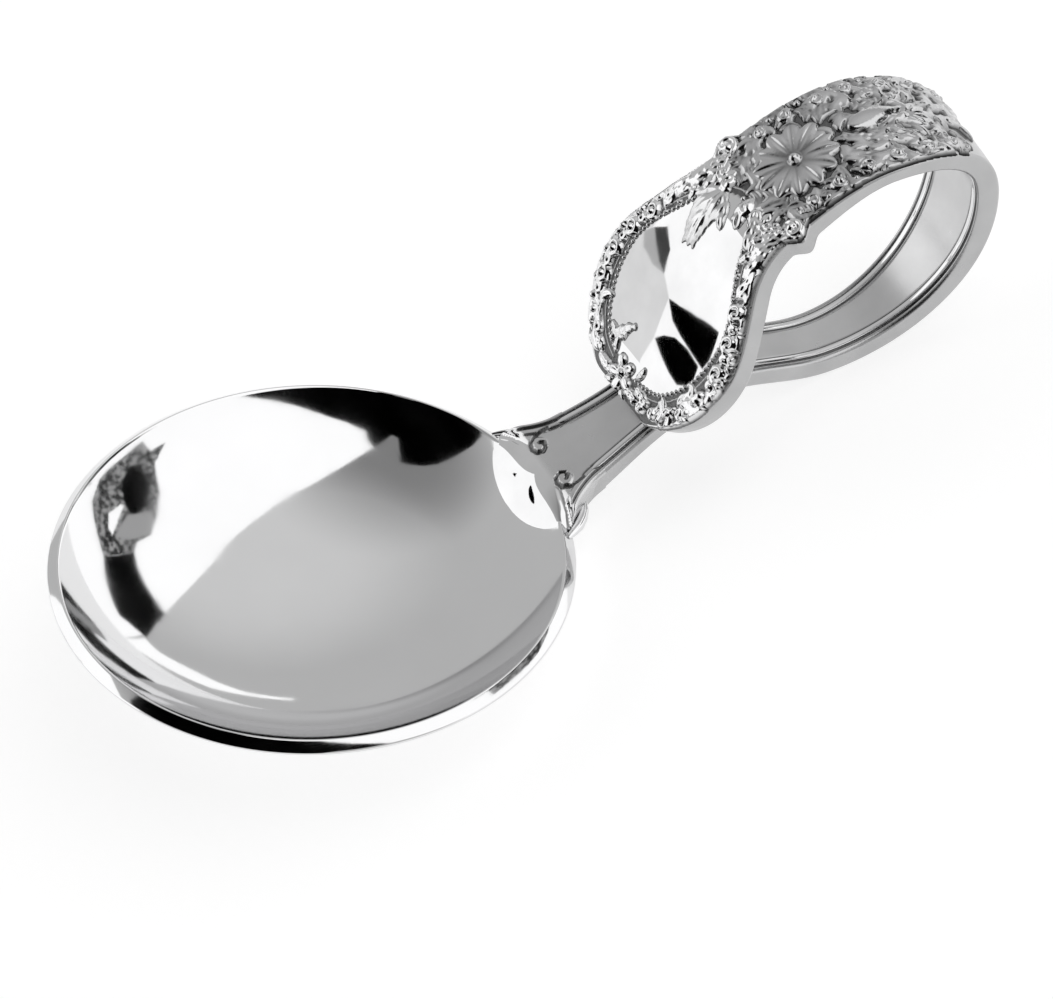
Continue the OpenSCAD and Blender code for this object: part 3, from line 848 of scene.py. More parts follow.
@dataclass
class Handle:
    """The strip itself, with rounded edges, threads on its front and a domed face plate."""

    edge_r: float = 0.45
    step: float = 0.2
    face_points: int = 96
    corner_points: int = 7
    thread_inset: float = 0.95
    thread_half: float = 0.25
    thread_h: float = 0.06
    thread_sink: float = 0.15
    thread_taper: float = 0.06
    thread_steps: int = 260
    thread_q: tuple[float, float] = (0.4, 4.9)
    # Shares of the sides, the plain face and the front: they set the polish and also darken the colour as
    # painted shade.
    side_polish_and_shade: float = 0.5
    plain_polish_and_shade: float = 0.6
    front_polish_and_shade: float = 0.7
    mirror_end: tuple[float, float] = (19, 21)

    def ring(self, q: float) -> Array:
        """Closed section of the strip.

        Args:
            q: Its place along the strip.

        Returns:
            The points.
        """
        one = np.array([q])
        half, t = float(STRIP.half_width(one)[0]), float(STRIP.thick(one)[0])
        d = float(STRIP.from_tip(one)[0])
        inset = 0.0
        if d < self.edge_r:
            inset = self.edge_r - math.sqrt(max(0.0, self.edge_r ** 2 - (self.edge_r - d) ** 2))
        half, t = half - inset, t - 2 * inset * 0.9
        r = min(self.edge_r, t * 0.45)
        y = np.linspace(-(half - r), half - r, self.face_points)
        qs = np.full_like(y, q)
        face = np.column_stack([y, -(t / 2 + STRIP.crown(qs, y))])
        low, steps = float(STRIP.under_shoulder(one)[0]), self.corner_points + 1
        right = np.vstack([arc((half - r, r - t / 2), r, -90, 0, steps)[1:-1],
                           arc((half - r, t / 2 - low - r), r, 0, 90, steps)[1:-1]])
        front = np.column_stack([y[::-1], t / 2 - STRIP.front_drop(qs, y[::-1])])
        left = right[::-1] * [-1, 1]
        section = np.vstack([face, right, front, left])
        m, n = STRIP.middle(one)[0], STRIP.inward(one)[0]
        return np.column_stack([m[0] + section[:, 1] * n[0], section[:, 0], m[1] + section[:, 1] * n[1]])

    def stations(self) -> Array:
        """Chooses the sections, closer together at the tip.

        Returns:
            Their places along the strip.
        """
        total = float(STRIP.from_tip(np.array([0.0]))[0])
        d = np.concatenate([self.edge_r * (1 - np.cos(np.linspace(0.05, 1.5, 8))),
                            np.linspace(self.edge_r * 1.1, total, int(total / self.step))])
        return STRIP.q_at(np.unique(d))[::-1]

    def thread(self, side: int, start: float, end: float) -> Array:
        """One raised line along the front's edge.

        Args:
            side: Its side, -1 or 1.
            start: Where it starts along the strip.
            end: Where it ends.

        Returns:
            Rings of points.
        """
        q = np.linspace(start, end, self.thread_steps)
        mid = STRIP.half_width(q) - self.thread_inset
        a = np.radians(np.linspace(0, 180, 11))
        across = np.concatenate([np.cos(a) * self.thread_half, [-self.thread_half, self.thread_half]])
        up = np.concatenate([np.sin(a) * self.thread_h, [-self.thread_sink] * 2])
        end_share = np.sqrt(clamp(np.minimum(q - start, end - q) / self.thread_taper + 0.02))
        rings = []
        for k in range(len(q)):
            y = side * (mid[k] + across * end_share[k])
            rings.append(STRIP.on_front(np.full_like(y, q[k]), y, np.where(up > 0, up * end_share[k], up)))
        rings = np.array(rings)
        return rings[:, ::-1] if side > 0 else rings

    def polish_and_shade(self, stations: Array, plate: "FacePlate") -> Array:
        """Share of polish and painted shade of each point of the strip: most in the mirror, none on the cast
        ground, which the finish paints dark as shade, and less in the front's grooves as painted shade.

        Args:
            stations: Places of the sections along the strip.
            plate: The layout of the relief.

        Returns:
            The shares, section by section, and those of the two end points.
        """
        n, c = self.face_points, 2 * self.corner_points
        rows = np.full((len(stations), 2 * n + 2 * c), self.side_polish_and_shade)
        rows[:, :n] = self.plain_polish_and_shade
        for row, d, half in zip(rows, STRIP.from_tip(stations), STRIP.half_width(stations)):
            y = np.linspace(self.edge_r - half, half - self.edge_r, n)
            if d < plate.relief_end + 3:
                within = (np.abs(y) < half - self.edge_r - 0.15) & plate.carved(d, y)
                # The cast ground between the relief gets share 0 and is painted dark as shade.
                ground = within & ~plate.inside_egg(np.full(n, d), y)
                row[:n] = np.where(ground, 0.0, np.interp(d, self.mirror_end, (1.0, self.plain_polish_and_shade)))
            # Painted shade darkens the front along its two grooves.
            row[n + c:2 * n + c] = self.front_polish_and_shade * (1 - STRIP.painted_groove_shade(half - np.abs(y)))
        return np.append(rows.ravel(), (self.side_polish_and_shade, self.side_polish_and_shade))

    def build(self, finishes: Finishes, plate: "FacePlate") -> list[bpy.types.Object]:
        """Makes the strip and its threads.

        Args:
            finishes: The materials.
            plate: The layout of the relief, which says where the ground is cast and where it is polished.

        Returns:
            The pieces.
        """
        stations = self.stations()
        skin = sweep(np.array([self.ring(q) for q in stations]))
        strip = make_piece("handle_strip", *skin, finishes.strip, 50, self.polish_and_shade(stations, plate))
        skin = join([sweep(self.thread(side, *self.thread_q)) for side in (-1, 1)])
        threads = make_piece("edge_threads", *skin, finishes.mirror, 50)
        return [declare(strip, "bright_metal", "handle"), declare(threads, "relief_metal", "stem_threads")]


class Form(Enum):
    """Cross sections that the carver's strokes have."""

    WIRE = "round all over"
    LEAF = "veined, with a groove along the middle"
    PETAL = "hollow, with raised sides"
    SMOOTH = "low and plain"


@dataclass(frozen=True)
class Stroke:
    """One raised mark: a spine of (distance from the tip, distance across) with half widths and heights."""

    spine: Array
    half: Array
    height: Array
    form: Form = Form.WIRE
    veins: float = 4.0

    def rise(self, across: Array, along: Array, height: Array) -> Array:
        """Height of the mark's section.

        Args:
            across: Shares across, -1 to 1.
            along: Shares along, 0 to 1.
            height: Full height.

        Returns:
            The heights.
        """
        a = np.abs(across)
        inside = clamp(1 - a * a)
        if self.form is Form.WIRE:
            return height * np.sqrt(inside)
        if self.form is Form.LEAF:
            vein = 0.5 + 0.5 * np.cos(2 * math.pi * (along * self.veins - 0.8 * a))
            return height * inside ** 0.5 * (0.62 + 0.38 * vein) * (1 - 0.55 * bell(across, 0, 0.17))
        if self.form is Form.PETAL:
            hollow = (0.8 + 0.2 * a) * (1 - 0.4 * bell(across, 0, 0.12))
            return height * inside ** 0.38 * hollow * (0.7 + 0.3 * along)
        return height * inside ** 0.35

    def lay(self, d: Array, y: Array) -> Array:
        """Height of the mark over a patch of the grid.

        Args:
            d: Distances from the tip, as a grid.
            y: Distances across, as a grid.

        Returns:
            Heights, 0 where the mark isn't.
        """
        best = np.full(d.shape, np.inf)
        out = np.zeros(d.shape)
        last = len(self.spine) - 1
        if last == 0:
            r = np.hypot(d - self.spine[0, 0], y - self.spine[0, 1]) / self.half[0]
            return self.rise(r, np.zeros_like(r), self.height[0])
        for i in range(last):
            a, b = self.spine[i], self.spine[i + 1]
            run = b - a
            length = max(float(run @ run), 1e-9)
            t = clamp(((d - a[0]) * run[0] + (y - a[1]) * run[1]) / length)
            off_d, off_y = d - a[0] - t * run[0], y - a[1] - t * run[1]
            gap = np.hypot(off_d, off_y)
            half = np.maximum(mix(self.half[i], self.half[i + 1], t), 1e-3)
            share = gap / half
            side = np.where(run[0] * off_y - run[1] * off_d >= 0, 1.0, -1.0)
            height = mix(self.height[i], self.height[i + 1], t) * clamp(half / 0.16)
            rise = self.rise(side * share, (i + t) / last, height)
            closer = share < best
            best = np.where(closer, share, best)
            out = np.where(closer & (share < 1), rise, np.where(closer, 0, out))
        return out


def path(start: Sequence[float], angle: float, bend: float, length: float, steps: int = 14) -> Array:
    """Spine that leaves start at an angle and bends evenly by bend degrees over its length."""
    steps_out = length / steps * way(angle + bend * (np.arange(steps) + 0.5) / steps)
    return np.vstack([start, np.asarray(start) + np.cumsum(steps_out, axis=0)])


def ball(at: Sequence[float], radius: float, height: float) -> list[Stroke]:
    """Round bead."""
    return [Stroke(np.array([at], float), np.array([radius]), np.array([height]))]


def leaf(start: Sequence[float], angle: float, bend: float, length: float, width: float, height: float,
         form: Form = Form.LEAF, veins: float = 4.0, belly: float = 0.8) -> list[Stroke]:
    """Leaf or petal that swells from its foot and narrows to its tip.

    Args:
        start: Where it starts.
        angle: Angle at which it leaves, in degrees.
        bend: How many degrees it bends by.
        length: Its length.
        width: Its greatest width.
        height: Its height.
        form: Its cross section.
        veins: Number of veins.
        belly: How far out it is widest.

    Returns:
        The strokes.
    """
    spine = path(start, angle, bend, length)
    u = np.linspace(0.06, 0.97, len(spine))
    swell = np.sin(math.pi * u ** belly) ** 0.75
    return [Stroke(spine, width / 2 * np.maximum(swell, 0.05), height * (0.5 + 0.5 * swell), form, veins)]


def tendril(start: Sequence[float], angle: float, bend: float, length: float, half: float,
            height: float) -> list[Stroke]:
    """Thin stem that tapers.

    Args:
        start: Where it starts.
        angle: Angle at which it leaves, in degrees.
        bend: How many degrees it bends by.
        length: Its length.
        half: Half width at its foot.
        height: Its height.

    Returns:
        The strokes.
    """
    spine = path(start, angle, bend, length, 18)
    u = np.linspace(0, 1, len(spine))
    return [Stroke(spine, half * (1 - 0.55 * u), height * (1 - 0.35 * u))]


def scroll(at: Sequence[float], radius: float, start: float, turn: float, half: float, height: float,
           tail: float = 0.0) -> list[Stroke]:
    """Volute: a wire that winds in to a round eye, with a tail that leaves it straight.

    Args:
        at: Its middle.
        radius: Outer radius.
        start: Angle at which the wire starts.
        turn: Angle that it turns through, negative for the other hand.
        half: Half width of the wire.
        height: Its height.
        tail: Length of the tail.

    Returns:
        The strokes.
    """
    u = np.linspace(0, 1, 30)
    r = (radius - half) * (1 - 0.66 * u ** 0.9)
    spine = np.asarray(at) + r[:, None] * way(start + turn * u)
    if tail:
        back = spine[0] + tail * way(start - math.copysign(90, turn))
        spine = np.vstack([back, mix(back, spine[0], 0.5), spine])
    share = np.linspace(0, 1, len(spine))
    taper = np.minimum(1, share / 0.12 + 0.35) if tail else np.ones(len(spine))
    return [Stroke(spine, half * taper * (1 - 0.2 * share), height * (0.8 + 0.2 * share)),
            *ball(spine[-1], half * 1.55, height * 1.15)]


def acanthus(start: Sequence[float], angle: float, bend: float, length: float, width: float, height: float,
             lobes: int = 4, curl: float = 1.0) -> list[Stroke]:
    """Acanthus leaf: a grooved middle with pairs of curled lobes that get smaller towards its tip.

    Args:
        start: Where it starts.
        angle: Angle at which it leaves, in degrees.
        bend: How many degrees it bends by.
        length: Its length.
        width: Its greatest width.
        height: Its height.
        lobes: Number of pairs.
        curl: How much the lobes curl.

    Returns:
        The strokes.
    """
    spine = path(start, angle, bend, length, 20)
    strokes = leaf(start, angle, bend, length, width * 0.42, height)
    for k in range(lobes):
        u = 0.12 + 0.7 * k / max(lobes - 1, 1)
        i = int(u * 20)
        size = width * 0.62 * (1 - 0.62 * u)
        for side in (-1, 1):
            lean, roll = angle + bend * u + side * 58, -side * 75 * curl
            strokes += leaf(spine[i], lean, roll, size, size * 0.5, height * (0.9 - 0.3 * u), veins=1.5)
    return strokes


def fan(at: Sequence[float], angle: float, radius: float, ribs: int, spread: float,
        height: float) -> list[Stroke]:
    """Shell: ribs that spread from one point, behind a round ball.

    Args:
        at: The point that they spread from.
        angle: Angle of the middle, in degrees.
        radius: Length from that point.
        ribs: Number of ribs.
        spread: Angle between the outer edges.
        height: Its height.

    Returns:
        The strokes.
    """
    width = 2 * radius * math.sin(math.radians(spread / ribs / 2)) * 1.1
    strokes = ball(at, radius * 0.33, height * 1.3)
    for k in range(ribs):
        a = angle + spread * ((k + 0.5) / ribs - 0.5)
        strokes += leaf(np.asarray(at) + 0.3 * radius * way(a), a, 0, radius * 0.72, width, height, Form.SMOOTH)
    return strokes


def blossom(at: Sequence[float], boss: tuple[float, float], petals: int, first: float, foot: float,
            size: tuple[float, float], heights: tuple[float, float], belly: float) -> list[Stroke]:
    """Hollow petals round a ball.

    Args:
        at: Its middle.
        boss: Radius and height of the ball.
        petals: Number of petals.
        first: Angle of the first petal.
        foot: Distance at which the petals start.
        size: Length and width of a petal.
        heights: Heights of every other petal and of those between.
        belly: How far out the petals are widest.

    Returns:
        The strokes.
    """
    strokes = ball(at, *boss)
    for k in range(petals):
        a = 360 / petals * k + first
        strokes += leaf(np.asarray(at) + foot * way(a), a, 0, *size, heights[k % 2], Form.PETAL, belly=belly)
    return strokes


def each(make: Callable[..., list[Stroke]], *rows: tuple, **same: object) -> list[Stroke]:
    """Strokes of one kind, made once for each row of its values."""
    return [stroke for row in rows for stroke in make(*row, **same)]


@dataclass
class Carving:
    """One group of cast relief, raised from the decorated face on a fine grid."""

    name: str
    node: str
    strokes: list[Stroke]
    cell: float = 0.075
    keep_in: float = 0.12
    sink: float = 0.14
    wear: int = 2
    least: float = 0.055
    full: float = 0.42
    fade_in: float = 0.3
    edge_sink: float = 0.03

    def field(self) -> tuple[Array, Array, Array]:
        """Lays all strokes on a grid and wears them down a little.

        Returns:
            Distances from the tip, distances across and heights.
        """
        reach = [(s.spine.min(0) - s.half.max(), s.spine.max(0) + s.half.max()) for s in self.strokes]
        low = np.maximum(np.min([r[0] for r in reach], axis=0) - self.cell * 2, (0.15, -10))
        high = np.max([r[1] for r in reach], axis=0) + self.cell * 2
        d = np.arange(low[0], high[0], self.cell)
        y = np.arange(low[1], high[1], self.cell)
        grid_d, grid_y = np.meshgrid(d, y, indexing="ij")
        height = np.zeros(grid_d.shape)
        for stroke, (a, b) in zip(self.strokes, reach):
            i0, i1 = np.searchsorted(d, (a[0] - self.cell, b[0] + self.cell))
            j0, j1 = np.searchsorted(y, (a[1] - self.cell, b[1] + self.cell))
            if i1 > i0 and j1 > j0:
                part = (slice(i0, i1), slice(j0, j1))
                height[part] = np.maximum(height[part], stroke.lay(grid_d[part], grid_y[part]))
        for _ in range(self.wear):
            for axis in (0, 1):
                height = 0.5 * height + 0.25 * (np.roll(height, 1, axis) + np.roll(height, -1, axis))
        height = np.where(height < self.least, 0, height)
        height[-2:] = 0
        edge = STRIP.half_width(STRIP.q_at(d))[:, None] - np.abs(grid_y)
        height *= ease(edge, self.keep_in, self.fade_in)
        return grid_d, grid_y, height

    def build(self, finish: bpy.types.Material) -> bpy.types.Object:
        """Makes the relief as a closed mesh that is sunk a little into the face.

        Args:
            finish: Its material.

        Returns:
            The piece.
        """
        d, y, height = self.field()
        live = height > 0.01
        used = corners_of(live[:-1, :-1] | live[1:, :-1] | live[:-1, 1:] | live[1:, 1:])
        top = STRIP.on_face(d, y, np.where(live, height, -self.edge_sink)).reshape(*d.shape, 3)
        base = STRIP.on_face(d, y, np.full(d.size, -self.sink)).reshape(top.shape)
        piece = patch(self.name, top, base, used, finish, 80, clamp(height / self.full))
        return declare(piece, "relief_metal", self.node)


@dataclass
class Shoulder:
    """The flared end of the handle, which laps the rim, dies away into the bowl and ends the edge rolls.

    The bowl's own wall is worked out here too, from the same sizes, so that the two meet.
    """

    tip_x: float = 16.75
    flare_x: float = 19.2
    end_x: float = 23.2
    half: float = 5.7
    steep: float = 0.41
    proud: float = 0.02
    columns: int = 190
    edge_r: float = 0.35
    blend: float = 0.5
    stem_half: float = 4.16
    flare_len: float = 3.3
    tongue_x: float = 20.0
    tongue_len: float = 2.6
    tongue_drop: float = 0.75
    side_fall: float = 0.03
    rim_r: float = 19.75
    hook_at: tuple[float, float] = (20.35, 2.15)
    hook_r: float = 0.8
    groove_starts: tuple[tuple[float, float], ...] = ((19.6, 0.5), (21.4, 0.3))
    hook: tuple[tuple[float, float], ...] = (
        (21.6, 3.02), (21.0, 3.1), (20.45, 3.02), (19.98, 2.62), (19.82, 2.05), (20.0, 1.52), (20.42, 1.34),
        (20.76, 1.6), (20.78, 1.98), (20.55, 2.2),
    )
    bowl: Bowl = field(default_factory=Bowl)

    def stem_line(self) -> tuple[Array, Array]:
        """Middle line of the stem's front, and the q of each of its points."""
        q = np.linspace(0.0, 0.6, 60)
        return STRIP.on_front(q, 0.0, 0.0), q

    def front_z(self, x: Array) -> Array:
        """Height of the stem's front face, carried on straight into the bowl.

        Args:
            x: Places along the spoon.

        Returns:
            The heights.
        """
        line, _ = self.stem_line()
        slope = (line[1, 2] - line[0, 2]) / (line[1, 0] - line[0, 0])
        straight = line[0, 2] + (x - line[0, 0]) * slope
        return np.where(x < line[0, 0], straight, np.interp(x, line[:, 0], line[:, 2]))

    def wall_z(self, radius: Array) -> Array:
        """Height of the bowl's inside, or of its rim.

        Args:
            radius: Distances from the bowl's axis.

        Returns:
            The heights.
        """
        p = self.bowl.profile()
        p = p[:int(np.argmax(p[:, 0])) + 1]
        return np.interp(radius, p[:, 0], p[:, 1], right=float(p[-1, 1]))

    def width(self, x: Array) -> Array:
        """Half width of the shoulder.

        Args:
            x: Places along the spoon.

        Returns:
            The half widths.
        """
        round_end = self.half * np.sqrt(clamp(1 - ((self.flare_x - x) / (self.flare_x - self.tip_x)) ** 2))
        line, q = self.stem_line()
        stem = np.interp(x, line[:, 0], STRIP.half_width(q)) + 0.01
        flare = (self.half - self.stem_half) * clamp(1 - (x - self.flare_x) / self.flare_len) ** 1.9
        return np.where(x < self.flare_x, round_end, stem + flare)

    def edge(self, x: Array, y: Array) -> Array:
        """Distance from the outline.

        Args:
            x: Places along the spoon.
            y: Distances across, from the middle line.

        Returns:
            The distances.
        """
        run = self.flare_x - self.tip_x
        share = np.maximum(np.hypot((self.flare_x - x) / run, y / self.half), 1e-6)
        reach = np.where(share < 1e-3, run, np.hypot(self.flare_x - x, y) / share)
        return np.maximum(np.where(x < self.flare_x, (1 - share) * reach, self.width(x) - np.abs(y)), 0)

    def inset(self, x: Array, y: Array) -> Array:
        """Distance in from the side, by which the grooves run."""
        return np.where(x < self.flare_x, self.half, self.width(x)) - np.abs(y)

    def hooks(self, x: Array, y: Array, half: float, heights: tuple[float, float], form: Form) -> Array:
        """Marks along the two hook-shaped grooves, with a half width and the heights at their ends."""
        line = np.array(self.hook)
        return Stroke(line, np.full(len(line), half), np.linspace(*heights, len(line)), form).lay(x, np.abs(y))

    def top(self, x: Array, y: Array) -> Array:
        """Height of the shoulder's surface.

        Args:
            x: Places along the spoon.
            y: Distances across, from the middle line.

        Returns:
            The heights.
        """
        edge, inset, a = self.edge(x, y), self.inset(x, y), np.abs(y)
        radius = np.hypot(x, y)
        wall = self.wall_z(radius)
        tongue = clamp((self.tongue_x - x) / self.tongue_len) ** 2.5
        plane = self.front_z(x) + self.proud - self.tongue_drop * tongue
        plane -= self.side_fall * np.maximum(0, a - 1.5) ** 2 * (1 - ease(x, 18.9, 1.5))
        bands = ease(inset, 1.45, -0.3) * ease(a, 1.3, 0.3)
        heads = ease(np.hypot(x - self.hook_at[0], a - self.hook_at[1]), self.hook_r, -0.25)
        plane -= STRIP.panel_deep * (1 - np.maximum(bands, heads) * ease(x, 19.1, 0.8))
        for (at, width, deep), start in zip(STRIP.grooves, self.groove_starts):
            plane -= deep * bell(inset, at, width) * ease(x, *start)
        plane -= self.hooks(x, y, 0.16, (0.12, 0.26), Form.WIRE)
        base = mix(plane - 1.6, wall, 1 - ease(radius, self.rim_r, 0.35))
        ramp = wall + self.steep * edge * (1 - 0.3 * ease(a, 4.2, 1.4)) + 0.02
        ramp = mix(ramp, plane + 0.6, ease(radius, 19.3, 1.5))
        gap = clamp(0.5 + (ramp - plane) / self.blend)
        soft = mix(ramp, plane, gap) - self.blend / 2 * gap * (1 - gap)
        r = self.edge_r
        fall = r - np.sqrt(np.maximum(0, r * r - np.maximum(0, r - edge) ** 2))
        return np.maximum(soft, base + 0.01) - fall * ease(x, 19.3, 0.5)

    def polish_and_shade(self, x: Array, y: Array) -> Array:
        """Share of polish and painted shade: a mirror on the tongue, softer on the stem, and dark in the
        grooves and along the hooks as painted shade.

        Args:
            x: Places along the spoon.
            y: Distances across, from the middle line.

        Returns:
            The shares.
        """
        inset = self.inset(x, y)
        outer, inner = (ease(x, *start) for start in self.groove_starts)
        # Painted shade in the edge grooves and along the hook-shaped grooves.
        sides = STRIP.painted_groove_shade(inset) * np.where(inset < 1, outer, inner)
        curl = 0.9 * self.hooks(x, y, 0.2, (1.0, 1.0), Form.SMOOTH)
        return mix(1.0, 0.7, ease(x, 19.4, 0.8)) * (1 - np.maximum(sides, curl))

    def build(self, finishes: Finishes) -> bpy.types.Object:
        """Makes the shoulder.

        Args:
            finishes: The materials.

        Returns:
            The piece.
        """
        turn = np.radians(np.linspace(4, 90, 44))
        x = np.concatenate([self.flare_x - (self.flare_x - self.tip_x) * np.cos(turn),
                            np.arange(self.flare_x + 0.07, 21.6, 0.07), np.arange(21.7, self.end_x, 0.12)])
        share = np.sin(np.radians(np.linspace(-90, 90, self.columns)))
        gx = np.repeat(x[:, None], self.columns, axis=1)
        gy = self.width(x)[:, None] * share
        top = self.top(gx, gy)
        radius = np.hypot(gx, gy)
        low = mix(self.wall_z(radius) - 0.35, self.front_z(gx) - 1.85, ease(radius, 19.7, 0.5))
        low = np.minimum(low, top - 0.05)
        rings = np.concatenate([np.stack([gx, gy, low], -1), np.stack([gx, gy, top], -1)[:, ::-1]], axis=1)
        share = np.concatenate([np.full_like(top, 0.5), self.polish_and_shade(gx, gy)[:, ::-1]], axis=1)
        shares = np.append(share.ravel(), (1.0, 0.7))
        piece = make_piece("shoulder_flare", *sweep(rings), finishes.strip, 60, shares)
        return declare(piece, "bright_metal", "shoulder", "stem_scrolls")


@dataclass
class Ears:
    """The curl outside the rim at each end of the shoulder."""

    line: tuple[tuple[float, float, float, float], ...] = (
        (21.1, 4.15, 0.65, 0.2), (20.8, 4.75, 0.4, 0.32), (20.35, 5.25, 0.2, 0.4), (19.8, 5.7, 0.05, 0.4),
        (19.25, 6.0, 0.0, 0.34), (18.75, 6.25, -0.05, 0.25), (18.35, 6.5, -0.1, 0.12),
    )
    tall: float = 1.1

    def build(self, finishes: Finishes) -> bpy.types.Object:
        """Makes both curls with their beads.

        Args:
            finishes: The materials.

        Returns:
            The piece.
        """
        raw = np.array(self.line)
        u = np.linspace(0, len(raw) - 1, 70)
        line = np.column_stack([np.interp(u, np.arange(len(raw)), raw[:, k]) for k in range(4)])
        for _ in range(6):
            line[1:-1] = 0.5 * line[1:-1] + 0.25 * (line[:-2] + line[2:])
        run = np.gradient(line[:, :2], axis=0)
        run /= np.linalg.norm(run, axis=1)[:, None]
        a = np.linspace(0, 2 * math.pi, 28, endpoint=False)
        section = (1 - 0.4 * bell(a, 1.9, 0.3))[:, None] * np.column_stack([np.cos(a), self.tall * np.sin(a)])
        skins = []
        for side in (-1, 1):
            rings = []
            for (x, y, z, r), (tx, ty) in zip(line, run):
                across, up = (r * section).T
                rings.append(np.column_stack([x + across * ty, side * (y - across * tx), z + up]))
            skins.append(sweep(np.array(rings)[:, ::side]))
        piece = make_piece("rim_ears", *join(skins), finishes.mirror, 60)
        return declare(piece, "relief_metal", "shoulder_ears")


@dataclass
class FacePlate:
    """The relief of the plate and the loop, laid out as the photograph shows it.

    The flower is kept clear of small leaves, of beads and of the fine line, each at its own distance.
    """

    egg: tuple[tuple[float, float], ...] = (
        (2.05, 0.0), (2.3, 2.1), (3.0, 4.0), (4.6, 5.5), (6.4, 6.45), (8.4, 6.85), (10.2, 6.8), (12.0, 6.2),
        (13.7, 5.2), (15.2, 4.15), (16.8, 3.0), (18.0, 1.6), (18.5, 0.0),
    )
    bead_step: float = 0.5
    bead_r: float = 0.215
    line_out: float = 0.5
    line_half: float = 0.11
    line_h: float = 0.16
    flower: tuple[float, float] = (1.55, 0.7)
    rosette: tuple[float, float] = (23.2, 0.1)
    relief_end: float = 37.4
    flower_clear: tuple[float, float, float] = (1.3, 1.5, 1.7)
    rosette_clear: float = 3.1
    mirror_clear: float = 1.1
    edge_scrolls: tuple[float, float, float] = (22.3, 39.8, 2.35)
    seed: int = 11

    def egg_line(self, out: float = 0.0) -> Array:
        """Closed line round the mirror.

        Args:
            out: How far it is moved outwards.

        Returns:
            Its points (from the tip, across).
        """
        right = np.array(self.egg)
        points = np.vstack([right * [1, -1], right[-2:0:-1]])
        n = len(points)
        fine = []
        for i in range(n):
            p0, p1, p2, p3 = (points[(i + k) % n] for k in (-1, 0, 1, 2))
            for t in np.linspace(0, 1, 16, endpoint=False):
                fine.append(0.5 * (2 * p1 + (p2 - p0) * t + (2 * p0 - 5 * p1 + 4 * p2 - p3) * t * t
                                   + (3 * p1 - p0 - 3 * p2 + p3) * t ** 3))
        fine = np.array(fine)
        if out:
            run = np.roll(fine, -1, axis=0) - np.roll(fine, 1, axis=0)
            run /= np.linalg.norm(run, axis=1)[:, None]
            side = np.column_stack([run[:, 1], -run[:, 0]])
            centre = fine.mean(0)
            side *= np.sign(((fine - centre) * side).sum(1))[:, None]
            fine = fine + out * side
        return fine

    def inside_egg(self, d: Array, y: Array) -> Array:
        """Whether each place lies within the mirror.

        Args:
            d: Distances from the tip.
            y: Distances across, from the middle line.

        Returns:
            True or false for each.
        """
        line = self.egg_line()
        line = line[line[:, 1] >= 0]
        line = line[np.argsort(line[:, 0])]
        return np.abs(y) < np.interp(d, line[:, 0], line[:, 1], left=-1, right=-1) - 0.1

    def carved(self, d: Array, y: Array) -> Array:
        """Whether each place lies before the slanting end of the relief."""
        return d < self.relief_end + 0.45 * y

    def border(self, d: float, side: int, inset: float) -> Array:
        """Place on the border at a distance from the tip, inset from the outline."""
        return np.array([d, side * (float(STRIP.half_width(STRIP.q_at(np.array([d])))[0]) - inset)])

    def beads(self) -> list[Stroke]:
        """Row of beads and the fine line outside it.

        Returns:
            The strokes.
        """
        line = self.egg_line()
        closed = np.vstack([line, line[:1]])
        run = np.concatenate([[0], np.cumsum(np.linalg.norm(np.diff(closed, axis=0), axis=1))])
        count = int(run[-1] / self.bead_step)
        at = np.linspace(0, run[-1], count, endpoint=False)
        places = np.column_stack([np.interp(at, run, closed[:, k]) for k in (0, 1)])
        strokes: list[Stroke] = []
        for p in places:
            if np.hypot(*(p - self.flower)) > self.flower_clear[1] and not (p[0] > 15.5 and 0.3 < p[1] < 3.4):
                strokes += ball(p, self.bead_r, self.bead_r)
        outer = self.egg_line(self.line_out)
        for a, b in zip(outer, np.roll(outer, -1, axis=0)):
            if np.hypot(*(a - self.flower)) > self.flower_clear[2]:
                strokes.append(Stroke(np.array([a, b]), np.full(2, self.line_half), np.full(2, self.line_h)))
        return strokes

    def plate_border(self) -> list[Stroke]:
        """Scroll pairs, balls, shell and acanthus leaves between the beads and the outline.

        Returns:
            The strokes.
        """
        s: list[Stroke] = []
        for side, places in ((-1, (8.3, 10.7, 12.9)), (1, (5.9, 8.1, 10.5, 12.8))):
            for d in places:
                s += scroll(self.border(d, side, 1.25), 1.0, side * 200, side * 330, 0.27, 0.55, 0.6)
                s += scroll(self.border(d - 1.25, side, 1.4), 0.62, side * 20, -side * 280, 0.2, 0.46, 0.3)
                s += ball(self.border(d - 0.75, side, 0.55), 0.33, 0.5)
                s += ball(self.border(d + 0.95, side, 0.6), 0.25, 0.4)
                s += leaf(self.border(d - 0.3, side, 2.15), side * 10, side * 60, 1.4, 0.6, 0.42)
        for side in (-1, 1):
            for k, d in enumerate((13.7, 15.1, 16.4, 17.5)):
                s += acanthus(self.border(d, side, 1.7 - 0.1 * k), side * 14, -side * 30, 2.5, 2.1, 0.46, 3)
                s += leaf(self.border(d + 0.2, side, 0.8), side * 50, -side * 60, 1.3, 0.65, 0.4)
                s += ball(self.border(d - 0.2, side, 2.2), 0.22, 0.34)
            for d in (15.6, 16.8, 18.0):
                s += leaf(self.border(d, side, 2.5), side * 5, side * 50, 1.6, 0.8, 0.4)
        return s + self.filler(1.4, 19.0, 0.5, 2.6, 0.72, self.seed + 1)

